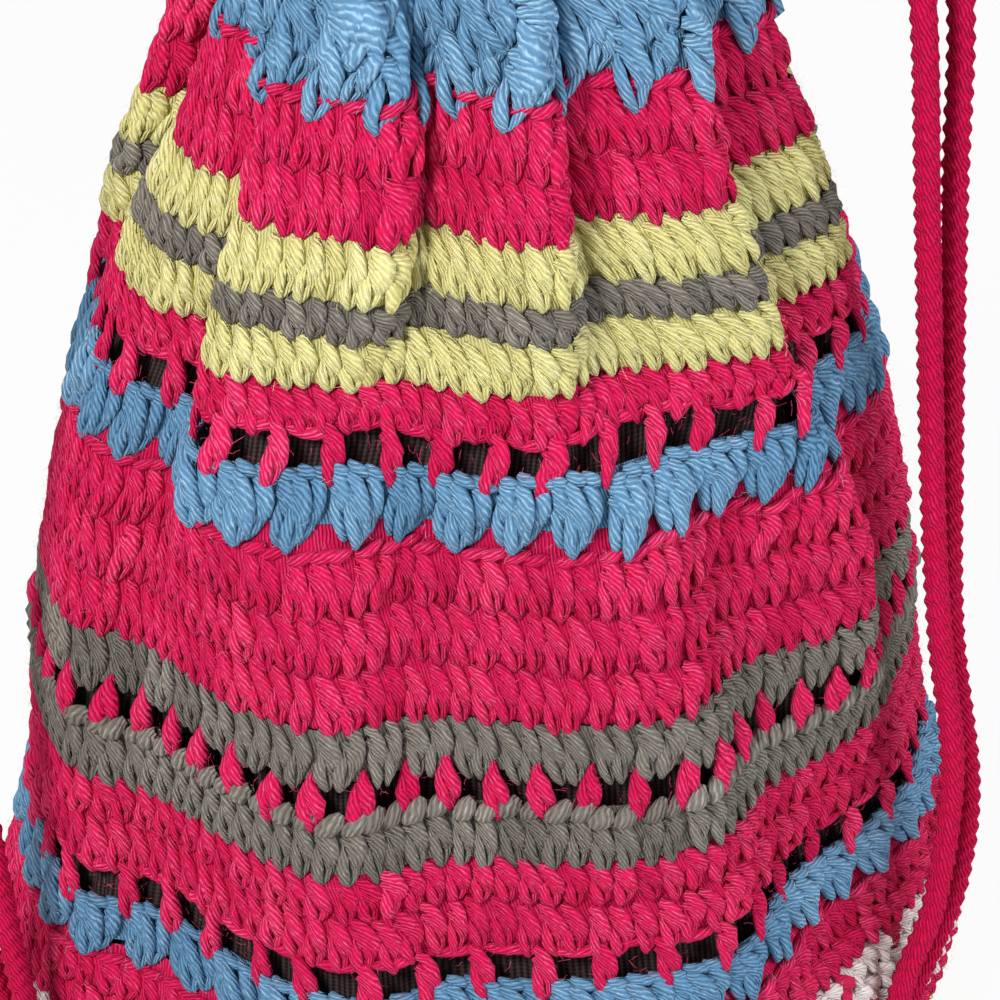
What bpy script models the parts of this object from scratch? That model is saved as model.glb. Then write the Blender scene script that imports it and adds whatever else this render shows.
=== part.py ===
"""Crochet drawstring backpack, gathered at the neck and standing on its oval base.

The bag is worked in the round, one band of yarn above another. Every band is made
straight on a plain cylinder and then carried onto the gathered body of the bag, so
the bands share one set of folds. Metres, +Z up, front of the bag towards -Y.
"""
from typing import Callable, NamedTuple

import bmesh
import bpy
import numpy as np
from mathutils import Matrix, Vector

# Yarn fabric
WALL = 0.004
ROW_GAP = 0.0003
SHELLS = 46
POSTS = 58

# Base and lining
BASE_THICK = 0.005
BASE_SIDES = 40
LINING_THICK = 0.001
LINING_EASE = 0.006
LINING_TOP_EASE = 0.013
LINING_SIDES = 24

# Drawcords
CORD_DIAMETER = 0.0075
CORD_SPACING = 0.009
CORD_SIDES_RESOLUTION = 2
CORD_STEP = 0.0162
CORD_CLEARANCE = 0.0026
RIGHT_NECK_RUN = (0.222, -0.712)
LEFT_NECK_RUN = (-0.207, 0.732)
NECK_RUN_POINTS = 24
SMOOTH_PARTS = 12

# Neck: the height above the neck band's lower edge where the cords run, and the eyelets
CORD_LEVEL = 0.0517
EYELET_HEIGHT = 0.021

# Openwork
POST_HEIGHT = 0.0105
SCALLOP_RISE = 0.006
BAR_HEIGHT = 0.0022

# Strap tabs at the two lower corners
TAB_WIDTH = 0.027
TAB_HEIGHT = 0.024
TAB_THICK = 0.0065
TAB_LEVEL = 0.018
TAB_PLACE_RIGHT = 0.150
TAB_PLACE_LEFT = 0.845
TAB_PROBE = 0.004
TAB_BEVEL = 0.0022

# Body of the bag
SQUARENESS = 1.98
SKEW_LEVEL = 0.33
SKEW_BASE = 0.050
BULGE_LEVEL = 0.17
BULGE_DROP = 0.13
LEFT_BULGE_LEVEL = 0.115
LEFT_BULGE_DROP = 0.07
BULGE = 0.055
LEAN = 0.85

PINK = (0.80, 0.045, 0.16)
BLUE = (0.13, 0.38, 0.69)
YELLOW = (0.81, 0.81, 0.31)
GREY = (0.26, 0.25, 0.23)
WHITE = (0.87, 0.77, 0.75)
DARK = (0.03, 0.018, 0.02)
YARN_ROUGHNESS = 0.9


class Band(NamedTuple):
    """One band of yarn: its height, and the bag's half width and half depth at its lower edge."""

    name: str
    colour: tuple
    height: float
    half_width: float
    half_depth: float
    sides: int
    style: str


class Fold(NamedTuple):
    """One fold: its place in turns from the front at three heights, its depth and how far it runs."""

    at_neck: float
    at_waist: float
    at_foot: float
    depth: float
    fades_at: float
    full_at: float
    lean: float


# The bands from the base upwards
BANDS = (
    Band("yellow_foot_band", YELLOW, 0.016, 0.137, 0.106, 40, "plain"),
    Band("pink_foot_band", PINK, 0.013, 0.145, 0.113, 40, "plain"),
    Band("white_patterned_band", WHITE, 0.038, 0.146, 0.116, 40, "plain"),
    Band("pink_lower_band", PINK, 0.0205, 0.142, 0.114, 40, "plain"),
    Band("blue_lower_shell_row", BLUE, 0.019, 0.137, 0.110, 2 * SHELLS, "shells"),
    Band("pink_lower_post_band", PINK, 0.0405, 0.1335, 0.107, 2 * SHELLS, "posts"),
    Band("grey_lower_row", GREY, 0.018, 0.1305, 0.103, 48, "plain"),
    Band("pink_teardrop_row", PINK, 0.0105, 0.1285, 0.101, 2 * POSTS, "comb"),
    Band("grey_upper_row", GREY, 0.016, 0.1270, 0.100, 48, "plain"),
    Band("pink_middle_band", PINK, 0.053, 0.1250, 0.099, 48, "plain"),
    Band("blue_upper_shell_row", BLUE, 0.0225, 0.1135, 0.094, 2 * SHELLS, "shells"),
    Band("pink_upper_post_band", PINK, 0.0230, 0.1065, 0.091, 2 * SHELLS, "posts"),
    Band("yellow_lower_row", YELLOW, 0.0138, 0.0995, 0.086, 56, "plain"),
    Band("grey_stripe_row", GREY, 0.0095, 0.0945, 0.083, 56, "plain"),
    Band("yellow_upper_row", YELLOW, 0.0160, 0.0905, 0.081, 56, "plain"),
    Band("pink_upper_band", PINK, 0.0335, 0.0825, 0.076, 56, "plain"),
)
NECK = Band("blue_neck_band", BLUE, 0.081, 0.0695, 0.065, 90, "neck")
NECK_HALF_WIDTH = 0.057
NECK_HALF_DEPTH = 0.046
RUFFLE_HALF_WIDTH = 0.070
RUFFLE_HALF_DEPTH = 0.058
BASE_HALF_WIDTH = 0.130
BASE_HALF_DEPTH = 0.099

# The drawcords' own points between their tabs and the neck, right then left
RIGHT_RISE = [Vector(p) for p in (
    (0.1268, -0.0427, 0.0425), (0.1272, -0.0428, 0.0530), (0.1305, -0.0430, 0.0700),
    (0.1365, -0.0425, 0.0950), (0.1390, -0.0385, 0.1400), (0.1330, -0.0350, 0.1836), (0.1282, -0.0335, 0.2306),
    (0.1219, -0.0320, 0.3132), (0.1170, -0.0300, 0.3780), (0.1120, -0.0240, 0.4080),
    (0.1010, -0.0150, 0.4270), (0.0880, -0.0080, 0.4310), (0.0770, -0.0045, 0.4300),
    (0.0690, -0.0042, 0.4293))]
RIGHT_FALL = [Vector(p) for p in (
    (0.0690, 0.0085, 0.4293), (0.0770, 0.0085, 0.4300), (0.0920, 0.0060, 0.4350),
    (0.1090, -0.0010, 0.4340), (0.1230, -0.0120, 0.4090), (0.1281, -0.0190, 0.3740),
    (0.1296, -0.0220, 0.3200), (0.1333, -0.0240, 0.2412), (0.1372, -0.0260, 0.1820),
    (0.1450, -0.0300, 0.1300), (0.1440, -0.0325, 0.0950), (0.1380, -0.0340, 0.0700),
    (0.1326, -0.0349, 0.0530), (0.1318, -0.0349, 0.0425))]
LEFT_RISE = [Vector(p) for p in (
    (-0.1283, -0.0717, 0.0425), (-0.1284, -0.0720, 0.0530), (-0.1330, -0.0765, 0.0900),
    (-0.1380, -0.0730, 0.1311), (-0.1440, -0.0600, 0.2000), (-0.1430, -0.0500, 0.3000),
    (-0.1400, -0.0400, 0.3600), (-0.1320, -0.0310, 0.4020), (-0.1160, -0.0210, 0.4230),
    (-0.0940, -0.0140, 0.4240), (-0.0790, -0.0115, 0.4210), (-0.0690, -0.0110, 0.4203))]
LEFT_FALL = [Vector(p) for p in (
    (-0.0690, 0.0040, 0.4203), (-0.0790, 0.0040, 0.4210), (-0.0950, 0.0020, 0.4270),
    (-0.1200, -0.0030, 0.4290), (-0.1400, -0.0140, 0.4060), (-0.1500, -0.0260, 0.3600),
    (-0.1530, -0.0420, 0.3000), (-0.1530, -0.0530, 0.2000), (-0.1475, -0.0640, 0.1400),
    (-0.1420, -0.0690, 0.0900), (-0.1352, -0.0652, 0.0530), (-0.1345, -0.0649, 0.0425))]

# Folds round the bag, from the front to the right, the back and the left
FOLDS = (
    Fold(0.032, 0.044, 0.042, 0.0085, 0.245, 0.345, 1.0),
    Fold(0.130, 0.135, 0.165, 0.0090, 0.090, 0.250, 1.0),
    Fold(0.230, 0.225, 0.225, 0.0085, 0.250, 0.350, 1.0),
    Fold(0.330, 0.335, 0.335, 0.0085, 0.170, 0.320, 1.0),
    Fold(0.430, 0.425, 0.425, 0.0085, 0.240, 0.350, 1.0),
    Fold(0.530, 0.530, 0.530, 0.0085, 0.200, 0.330, 1.0),
    Fold(0.630, 0.640, 0.640, 0.0085, 0.150, 0.310, 1.0),
    Fold(0.730, 0.735, 0.735, 0.0088, 0.240, 0.350, 1.0),
    Fold(0.832, 0.882, 0.880, 0.0086, 0.180, 0.300, -1.0),
    Fold(0.920, 0.966, 0.900, 0.0085, 0.270, 0.345, 1.0),
)
FOLD_WIDTH_NECK = 0.025
FOLD_WIDTH_FOOT = 0.021
NECK_GATHER = 0.40
NECK_UPRIGHT = 0.8
FOLD_TOP = 0.425
FOLD_WAIST = 0.360
FOLD_HIP = 0.330
FOLD_FOOT = 0.200
FINE = 1440


def band_levels() -> list[float]:
    """Return the height of each band's lower edge, then of the neck band's lower edge."""
    levels = [BASE_THICK + ROW_GAP]
    for band in BANDS:
        levels.append(levels[-1] + band.height + ROW_GAP)
    return levels


LEVELS = band_levels()
NECK_FOOT = LEVELS[-1]
CORD_Z = NECK_FOOT + CORD_LEVEL
TOP = NECK_FOOT + NECK.height
PROFILE = np.array(
    [(0.0, BASE_HALF_WIDTH, BASE_HALF_DEPTH)]
    + [(z, band.half_width, band.half_depth) for z, band in zip(LEVELS, BANDS)]
    + [(NECK_FOOT, NECK.half_width, NECK.half_depth),
       (CORD_Z, NECK_HALF_WIDTH, NECK_HALF_DEPTH),
       (TOP, RUFFLE_HALF_WIDTH, RUFFLE_HALF_DEPTH)]
)


def smooth(x: float) -> float:
    """Ease from 0 to 1 as x goes from 0 to 1."""
    x = min(max(x, 0.0), 1.0)
    return x * x * (3.0 - 2.0 * x)


def half_sizes(z: float) -> tuple[float, float]:
    """Return the bag's half width and half depth at a height, on a smooth curve through the bands."""
    row = int(np.clip(np.searchsorted(PROFILE[:, 0], z) - 1, 0, len(PROFILE) - 2))
    low, high = PROFILE[row], PROFILE[row + 1]
    before = PROFILE[max(row - 1, 0)]
    after = PROFILE[min(row + 2, len(PROFILE) - 1)]
    span = high[0] - low[0]
    t = (z - low[0]) / span
    slope_low = (high - before) / max(high[0] - before[0], span) * span
    slope_high = (after - low) / max(after[0] - low[0], span) * span
    h = (2 * t**3 - 3 * t**2 + 1, t**3 - 2 * t**2 + t, -2 * t**3 + 3 * t**2, t**3 - t**2)
    value = h[0] * low + h[1] * slope_low + h[2] * high + h[3] * slope_high
    return float(value[1]), float(value[2])


def plain_outline(turns: np.ndarray, z: float) -> np.ndarray:
    """Return points of the bag's outline without folds, from the front (0) round to the right."""
    half_width, half_depth = half_sizes(z)
    angle = 2.0 * np.pi * turns
    power = 2.0 / SQUARENESS
    across = np.sign(np.sin(angle)) * np.abs(np.sin(angle)) ** power
    along = np.sign(np.cos(angle)) * np.abs(np.cos(angle)) ** power
    right = np.maximum(across, 0.0)
    left = np.minimum(across, 0.0)
    skew = SKEW_BASE * smooth((SKEW_LEVEL - z) / SKEW_LEVEL)
    bulge = smooth((BULGE_LEVEL - z) / BULGE_DROP) * right
    bulge = bulge + smooth((LEFT_BULGE_LEVEL - z) / LEFT_BULGE_DROP) * left
    return np.column_stack([half_width * (across + BULGE * bulge), -half_depth * along + skew * right**2])


def outward(points: np.ndarray) -> tuple[np.ndarray, np.ndarray]:
    """Return the forward and outward unit vectors along a closed outline."""
    step = np.roll(points, -1, axis=0) - np.roll(points, 1, axis=0)
    forward = step / np.linalg.norm(step, axis=1)[:, None]
    return forward, np.column_stack([forward[:, 1], -forward[:, 0]])


def fold_depth(turns: np.ndarray, z: float) -> tuple[np.ndarray, np.ndarray]:
    """Return how far the folds push the outline outwards and forwards at a height."""
    rise = smooth((z - FOLD_WAIST) / (FOLD_TOP - FOLD_WAIST))
    drop = smooth((FOLD_HIP - z) / (FOLD_HIP - FOLD_FOOT))
    width = FOLD_WIDTH_FOOT + rise * (FOLD_WIDTH_NECK - FOLD_WIDTH_FOOT)
    out = np.zeros_like(turns)
    shift = np.zeros_like(turns)
    for fold in FOLDS:
        place = fold.at_waist + rise * (fold.at_neck - fold.at_waist) + drop * (fold.at_foot - fold.at_waist)
        depth = fold.depth * smooth((z - fold.fades_at) / (fold.full_at - fold.fades_at))
        depth *= 1.0 + NECK_GATHER * rise
        x = ((turns - place + 0.5) % 1.0 - 0.5) / width
        wave = -fold.lean * depth * x * np.exp(0.5 - 0.5 * x * x)
        out += wave
        shift += fold.lean * LEAN * (1.0 - NECK_UPRIGHT * rise) * wave
    return out, shift


def outline(z: float) -> tuple[np.ndarray, np.ndarray, np.ndarray]:
    """Return the folded outline at a height: its points, outward directions and fold depths."""
    turns = np.arange(FINE) / FINE
    plain = plain_outline(turns, z)
    forward, out = outward(plain)
    depth, shift = fold_depth(turns, z)
    points = plain + out * depth[:, None] + forward * shift[:, None]
    _, normal = outward(points)
    return points, normal, depth


def even_places(points: np.ndarray) -> np.ndarray:
    """Return the share of the outline's length at which each of its points lies, ending in 1."""
    closed = np.vstack([points, points[:1]])
    length = np.concatenate([[0.0], np.cumsum(np.linalg.norm(np.diff(closed, axis=0), axis=1))])
    return length / length[-1]


def on_bag(share: np.ndarray, z: float, off: np.ndarray) -> np.ndarray:
    """Return points on the bag's wall.

    Args:
        share: shares of the way round, measured along the folded wall from the front.
        z: the height.
        off: distances outwards from the middle of the wall.
    """
    points, normal, _ = outline(z)
    places = even_places(points)
    ring = np.vstack([points, points[:1]])
    facing = np.vstack([normal, normal[:1]])
    share = share % 1.0
    spot = np.column_stack([np.interp(share, places, ring[:, i]) for i in (0, 1)])
    face = np.column_stack([np.interp(share, places, facing[:, i]) for i in (0, 1)])
    face /= np.linalg.norm(face, axis=1)[:, None]
    return np.column_stack([spot + face * off[:, None], np.full(len(share), z)])


def wall_depth(share: float, z: float) -> float:
    """Return the fold depth of the wall at a share of the way round."""
    points, _, depth = outline(z)
    return float(np.interp(share % 1.0, even_places(points), np.append(depth, depth[0])))


def material(name: str, colour: tuple) -> bpy.types.Material:
    """Return a matt yarn material."""
    made = bpy.data.materials.new(name)
    made.use_nodes = True
    shader = made.node_tree.nodes["Principled BSDF"]
    shader.inputs["Base Color"].default_value = (*colour, 1.0)
    shader.inputs["Roughness"].default_value = YARN_ROUGHNESS
    shader.inputs["Metallic"].default_value = 0.0
    return made


def add_object(name: str, mesh: bmesh.types.BMesh, colour: tuple) -> bpy.types.Object:
    """Turn a bmesh into an object of the backpack's collection."""
    bmesh.ops.recalc_face_normals(mesh, faces=mesh.faces)
    data = bpy.data.meshes.new(name)
    mesh.to_mesh(data)
    mesh.free()
    data.materials.append(material(name, colour))
    made = bpy.data.objects.new(name, data)
    BAG.objects.link(made)
    return made


def straight_ring(sides: int, heights: list[float]) -> tuple[bmesh.types.BMesh, list[list]]:
    """Return a ring of radius 1 with a loop of vertices at each height, and those loops."""
    mesh = bmesh.new()
    loop = bmesh.ops.create_circle(mesh, segments=sides, radius=1.0)["verts"]
    loop.sort(key=lambda vert: np.arctan2(vert.co.x, -vert.co.y) % (2.0 * np.pi))
    bmesh.ops.translate(mesh, verts=loop, vec=Vector((0.0, 0.0, heights[0])))
    loops = [loop]
    for low, high in zip(heights, heights[1:]):
        edges = [edge for edge in mesh.edges if all(vert in loops[-1] for vert in edge.verts)]
        grown = bmesh.ops.extrude_edge_only(mesh, edges=edges)["geom"]
        verts = [item for item in grown if isinstance(item, bmesh.types.BMVert)]
        bmesh.ops.translate(mesh, verts=verts, vec=Vector((0.0, 0.0, high - low)))
        verts.sort(key=lambda vert: np.arctan2(vert.co.x, -vert.co.y) % (2.0 * np.pi))
        loops.append(verts)
    return mesh, loops


def turns_of(vert: bmesh.types.BMVert) -> float:
    """Return a vertex's share of the way round a straight ring."""
    return float(np.arctan2(vert.co.x, -vert.co.y) / (2.0 * np.pi) % 1.0)


def drop_cells(mesh: bmesh.types.BMesh, gone: Callable[[float, float], bool]) -> None:
    """Delete the faces whose middle, as a share of the way round and a height, is to go."""
    faces = []
    for face in mesh.faces:
        middle = face.calc_center_median()
        share = float(np.arctan2(middle.x, -middle.y) / (2.0 * np.pi) % 1.0)
        if gone(share, middle.z):
            faces.append(face)
    bmesh.ops.delete(mesh, geom=faces, context="FACES")


def thicken(mesh: bmesh.types.BMesh) -> None:
    """Give a straight ring the wall's thickness, half of it on each side of radius 1."""
    bmesh.ops.recalc_face_normals(mesh, faces=mesh.faces)
    bmesh.ops.solidify(mesh, geom=mesh.faces[:], thickness=WALL)
    radii = [np.hypot(vert.co.x, vert.co.y) for vert in mesh.verts]
    middle = 0.5 * (min(radii) + max(radii))
    for vert, radius in zip(mesh.verts, radii):
        wanted = 1.0 + (0.5 * WALL if radius > middle else -0.5 * WALL)
        vert.co.x *= wanted / radius
        vert.co.y *= wanted / radius


def gather(mesh: bmesh.types.BMesh) -> None:
    """Carry a straight ring's vertices onto the folded wall of the bag."""
    rows: dict[float, list] = {}
    for vert in mesh.verts:
        rows.setdefault(round(vert.co.z, 6), []).append(vert)
    for z, verts in rows.items():
        share = np.array([turns_of(vert) for vert in verts])
        off = np.array([np.hypot(vert.co.x, vert.co.y) - 1.0 for vert in verts])
        for vert, spot in zip(verts, on_bag(share, z, off)):
            vert.co = Vector(spot)


def plain_band(band: Band, foot: float) -> bmesh.types.BMesh:
    """Return a closed band of dense stitches."""
    return straight_ring(band.sides, [foot, foot + band.height])[0]


def shell_band(band: Band, foot: float) -> bmesh.types.BMesh:
    """Return a band of shells: its lower edge rises between one shell's point and the next."""
    mesh, loops = straight_ring(band.sides, [foot, foot + band.height])
    for number, vert in enumerate(loops[0]):
        if number % 2:
            vert.co.z += SCALLOP_RISE
    return mesh


def post_band(band: Band, foot: float) -> bmesh.types.BMesh:
    """Return a band whose lower part is open between posts that stand on the shells' seams."""
    mesh, _ = straight_ring(band.sides, [foot, foot + POST_HEIGHT, foot + band.height])
    top = foot + POST_HEIGHT
    drop_cells(mesh, lambda share, z: z < top and int(share * band.sides) % 2 == 0)
    return mesh


def comb_band(band: Band, foot: float) -> bmesh.types.BMesh:
    """Return the row of single posts, joined along the top by the loops that they hang from."""
    bar = foot + band.height - BAR_HEIGHT
    mesh, _ = straight_ring(band.sides, [foot, bar, foot + band.height])
    drop_cells(mesh, lambda share, z: z < bar and int(share * band.sides) % 2 == 0)
    return mesh


def neck_band(band: Band, foot: float) -> bmesh.types.BMesh:
    """Return the gathered neck, open where its wall crosses the drawcords, and its ruffle."""
    low = CORD_Z - 0.5 * EYELET_HEIGHT
    high = CORD_Z + 0.5 * EYELET_HEIGHT
    mesh, _ = straight_ring(band.sides, [foot, 0.5 * (foot + low), low, high, foot + band.height])
    clear = 0.5 * (CORD_DIAMETER + WALL) + CORD_CLEARANCE
    cell = 0.5 / band.sides

    def crosses(share: float, z: float) -> bool:
        """Tell whether a cell of the eyelet row would touch a drawcord."""
        if not low < z < high:
            return False
        ends = [wall_depth(share + side, CORD_Z) for side in (-cell, cell)]
        return min(abs(ends[0]), abs(ends[1])) < clear or ends[0] * ends[1] < 0.0

    drop_cells(mesh, crosses)
    return mesh


STYLES = {"plain": plain_band, "shells": shell_band, "posts": post_band, "comb": comb_band, "neck": neck_band}


def add_band(band: Band, foot: float) -> None:
    """Add one band of yarn to the bag."""
    mesh = STYLES[band.style](band, foot)
    thicken(mesh)
    gather(mesh)
    add_object(band.name, mesh, band.colour)


def add_base() -> None:
    """Add the flat oval base that the bag stands on."""
    mesh = bmesh.new()
    bmesh.ops.create_circle(mesh, cap_ends=True, segments=BASE_SIDES, radius=1.0)
    grown = bmesh.ops.extrude_face_region(mesh, geom=mesh.faces[:])["geom"]
    top = [item for item in grown if isinstance(item, bmesh.types.BMVert)]
    bmesh.ops.translate(mesh, verts=top, vec=Vector((0.0, 0.0, BASE_THICK)))
    gather(mesh)
    add_object("pink_base", mesh, PINK)


def add_lining() -> None:
    """Add the thin cloth lining, which stands on the base and hangs inside the folds."""
    floor = BASE_THICK + ROW_GAP
    heights = [floor, LEVELS[2], LEVELS[5], LEVELS[10], LEVELS[13], NECK_FOOT]
    mesh, loops = straight_ring(LINING_SIDES, heights)
    rim = [edge for edge in mesh.edges if edge.is_boundary and all(vert in loops[0] for vert in edge.verts)]
    bmesh.ops.contextual_create(mesh, geom=rim)
    spots = []
    for z, loop in zip(heights, loops):
        ease = LINING_EASE if z < LEVELS[8] else LINING_TOP_EASE
        shrink = 0.5 * WALL + ease
        share = np.array([turns_of(vert) for vert in loop])
        plain = plain_outline(share, z)
        centre_way = plain / np.linalg.norm(plain, axis=1)[:, None]
        for vert, spot in zip(loop, plain - shrink * centre_way):
            spots.append((vert, Vector((*spot, z))))
    for vert, spot in spots:
        vert.co = spot
    bmesh.ops.recalc_face_normals(mesh, faces=mesh.faces)
    made = add_object("lining", mesh, DARK)
    wall = made.modifiers.new("cloth", "SOLIDIFY")
    wall.thickness = LINING_THICK
    wall.offset = -1.0


def neck_run(run: tuple[float, float], z: float) -> list[Vector]:
    """Return a cord's points round the neck at a height, between the two places where it leaves."""
    turns = np.linspace(run[0], run[1], NECK_RUN_POINTS)
    return [Vector((x, y, z)) for x, y in plain_outline(turns, CORD_Z)]


def smooth_path(points: list[Vector]) -> list[Vector]:
    """Return points at an even step along a smooth curve through a route's own points."""
    dense = []
    for number in range(len(points) - 1):
        before = points[max(number - 1, 0)]
        start, end = points[number], points[number + 1]
        after = points[min(number + 2, len(points) - 1)]
        for part in range(SMOOTH_PARTS):
            t = part / SMOOTH_PARTS
            dense.append(0.5 * (2.0 * start + (end - before) * t
                                + (2.0 * before - 5.0 * start + 4.0 * end - after) * t**2
                                + (3.0 * start - before - 3.0 * end + after) * t**3))
    dense.append(points[-1])
    path = np.array(dense)
    length = np.concatenate([[0.0], np.cumsum(np.linalg.norm(np.diff(path, axis=0), axis=1))])
    count = int(round(length[-1] / CORD_STEP)) + 1
    steps = np.linspace(0.0, length[-1], count)
    return [Vector(spot) for spot in np.column_stack([np.interp(steps, length, path[:, i]) for i in range(3)])]


def add_cord(name: str, points: list[Vector]) -> None:
    """Add a drawcord as a round tube along a smooth path."""
    path = smooth_path(points)
    curve = bpy.data.curves.new(name, "CURVE")
    curve.dimensions = "3D"
    curve.bevel_depth = 0.5 * CORD_DIAMETER
    curve.bevel_resolution = CORD_SIDES_RESOLUTION
    curve.use_fill_caps = True
    spline = curve.splines.new("POLY")
    spline.points.add(len(path) - 1)
    for point, spot in zip(spline.points, path):
        point.co = (*spot, 1.0)
    curve.materials.append(material(name, PINK))
    BAG.objects.link(bpy.data.objects.new(name, curve))


def add_tab(name: str, turns: float) -> None:
    """Add one strap tab: a thick crocheted tab on the lower corner, where a cord's ends are sewn in."""
    level = TAB_LEVEL + 0.5 * TAB_HEIGHT
    outer = np.array([turns - TAB_PROBE, turns, turns + TAB_PROBE])
    spots = plain_outline(outer, level)
    along = spots[2] - spots[0]
    along /= np.linalg.norm(along)
    out = np.array([along[1], -along[0]])
    heights = np.linspace(TAB_LEVEL, TAB_LEVEL + TAB_HEIGHT, 5)
    reach = max(float((plain_outline(outer, z) @ out).max()) for z in heights)
    centre = spots[1] + out * (reach - spots[1] @ out + 0.5 * (WALL + TAB_THICK) + ROW_GAP)
    mesh = bmesh.new()
    bmesh.ops.create_cube(mesh, size=1.0)
    bmesh.ops.scale(mesh, verts=mesh.verts, vec=Vector((TAB_WIDTH, TAB_THICK, TAB_HEIGHT)))
    bmesh.ops.bevel(mesh, geom=mesh.edges[:], offset=TAB_BEVEL, segments=1, profile=0.5,
                    affect="EDGES", material=-1)
    bmesh.ops.rotate(mesh, verts=mesh.verts, cent=Vector(),
                     matrix=Matrix.Rotation(np.arctan2(along[1], along[0]), 3, "Z"))
    bmesh.ops.translate(mesh, verts=mesh.verts, vec=Vector((centre[0], centre[1], level)))
    add_object(name, mesh, PINK)


def clear_scene() -> None:
    """Remove what the scene starts with."""
    for item in list(bpy.data.objects):
        bpy.data.objects.remove(item, do_unlink=True)


clear_scene()
BAG = bpy.data.collections.new("crochet_backpack")
bpy.context.scene.collection.children.link(BAG)
add_base()
for one, foot_level in zip(BANDS, LEVELS):
    add_band(one, foot_level)
add_band(NECK, NECK_FOOT)
add_lining()
add_tab("right_strap_tab", TAB_PLACE_RIGHT)
add_tab("left_strap_tab", TAB_PLACE_LEFT)
add_cord("right_drawcord", RIGHT_RISE + neck_run(RIGHT_NECK_RUN, CORD_Z + 0.5 * CORD_SPACING) + RIGHT_FALL)
add_cord("left_drawcord", LEFT_RISE + neck_run(LEFT_NECK_RUN, CORD_Z - 0.5 * CORD_SPACING) + LEFT_FALL)
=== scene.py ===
"""Looks of the crochet drawstring backpack: every stitch is yarn, laid on the gathered body.

Each kind of stitch is a few strands of yarn in a flat cell. A row repeats its cell with an
Array modifier, and the row is then carried onto the same folded wall as the CAD bands. Soft
vertical waves are added to that wall here.
"""

import logging
from dataclasses import dataclass
from enum import Enum
from typing import Callable, Iterable, Sequence

import bmesh
import bpy
import numpy as np
from bmesh.types import BMesh
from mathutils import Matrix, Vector


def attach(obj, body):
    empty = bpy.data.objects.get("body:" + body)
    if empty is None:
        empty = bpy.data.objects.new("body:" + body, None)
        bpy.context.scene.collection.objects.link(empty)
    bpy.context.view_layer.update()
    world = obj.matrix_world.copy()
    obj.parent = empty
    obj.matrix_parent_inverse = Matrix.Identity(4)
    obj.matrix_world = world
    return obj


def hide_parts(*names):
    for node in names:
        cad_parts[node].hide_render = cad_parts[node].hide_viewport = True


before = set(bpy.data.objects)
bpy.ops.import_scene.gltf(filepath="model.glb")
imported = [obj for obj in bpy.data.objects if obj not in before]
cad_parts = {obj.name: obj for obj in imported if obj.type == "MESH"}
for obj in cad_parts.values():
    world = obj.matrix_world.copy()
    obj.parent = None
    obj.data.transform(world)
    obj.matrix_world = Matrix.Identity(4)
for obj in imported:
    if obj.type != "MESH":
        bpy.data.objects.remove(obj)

LOG = logging.getLogger("backpack")
MM = 0.001
TAU = 2.0 * np.pi

# Numbers shared with the CAD source
WALL = 0.004
ROW_GAP = 0.0003
SHELLS = 46
POSTS = 58
STITCHES = 116
BASE_THICK = 0.005
POST_HEIGHT = 0.0105
CORD_DIAMETER = 0.0075
CORD_SPACING = 0.009
CORD_LEVEL = 0.0517
EYELET_HEIGHT = 0.021
RIGHT_NECK_RUN = (0.222, -0.712)
LEFT_NECK_RUN = (-0.207, 0.732)
NECK_RUN_POINTS = 24
SQUARENESS = 1.98
SKEW_LEVEL = 0.33
SKEW_BASE = 0.050
BULGE_LEVEL = 0.17
BULGE_DROP = 0.13
LEFT_BULGE_LEVEL = 0.115
LEFT_BULGE_DROP = 0.07
BULGE = 0.055
LEAN = 0.85
FOLD_WIDTH_NECK = 0.025
FOLD_WIDTH_FOOT = 0.021
NECK_GATHER = 0.40
NECK_UPRIGHT = 0.8
FOLD_TOP = 0.425
FOLD_WAIST = 0.360
FOLD_HIP = 0.330
FOLD_FOOT = 0.200
NECK_HEIGHT = 0.081
BASE_HALF = (0.130, 0.099)
NECK_FOOT_HALF = (0.0695, 0.065)
NECK_HALF = (0.057, 0.046)
RUFFLE_HALF = (0.070, 0.058)

# Numbers of these looks only: the soft waves in the wall, the neck's stitches and the yarn's tubes
WAVES = 8
WAVE_DEPTH = 0.0065
WAVE_LEAN = 1.1
WAVE_START = 0.0585
WAVE_SLANT = 0.18
WAVE_LEVEL = 0.20
# Where the waves fade out below, above and at the sides, and over how much
WAVE_FOOT = (0.03, 0.09)
WAVE_HEAD = (0.31, 0.08)
WAVE_SIDE = (0.15, 0.5)
NECK_LEGS = 38
FLAT = 0.82
SIDES = 6

# Folds: place at the neck, waist and foot in turns, depth, where it fades and is full, lean
FOLDS = (
    (0.032, 0.044, 0.042, 0.0085, 0.245, 0.345, 1.0),
    (0.130, 0.135, 0.165, 0.0090, 0.090, 0.250, 1.0),
    (0.230, 0.225, 0.225, 0.0085, 0.250, 0.350, 1.0),
    (0.330, 0.335, 0.335, 0.0085, 0.170, 0.320, 1.0),
    (0.430, 0.425, 0.425, 0.0085, 0.240, 0.350, 1.0),
    (0.530, 0.530, 0.530, 0.0085, 0.200, 0.330, 1.0),
    (0.630, 0.640, 0.640, 0.0085, 0.150, 0.310, 1.0),
    (0.730, 0.735, 0.735, 0.0088, 0.240, 0.350, 1.0),
    (0.832, 0.882, 0.880, 0.0086, 0.180, 0.300, -1.0),
    (0.920, 0.966, 0.900, 0.0085, 0.270, 0.345, 1.0),
)

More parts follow.
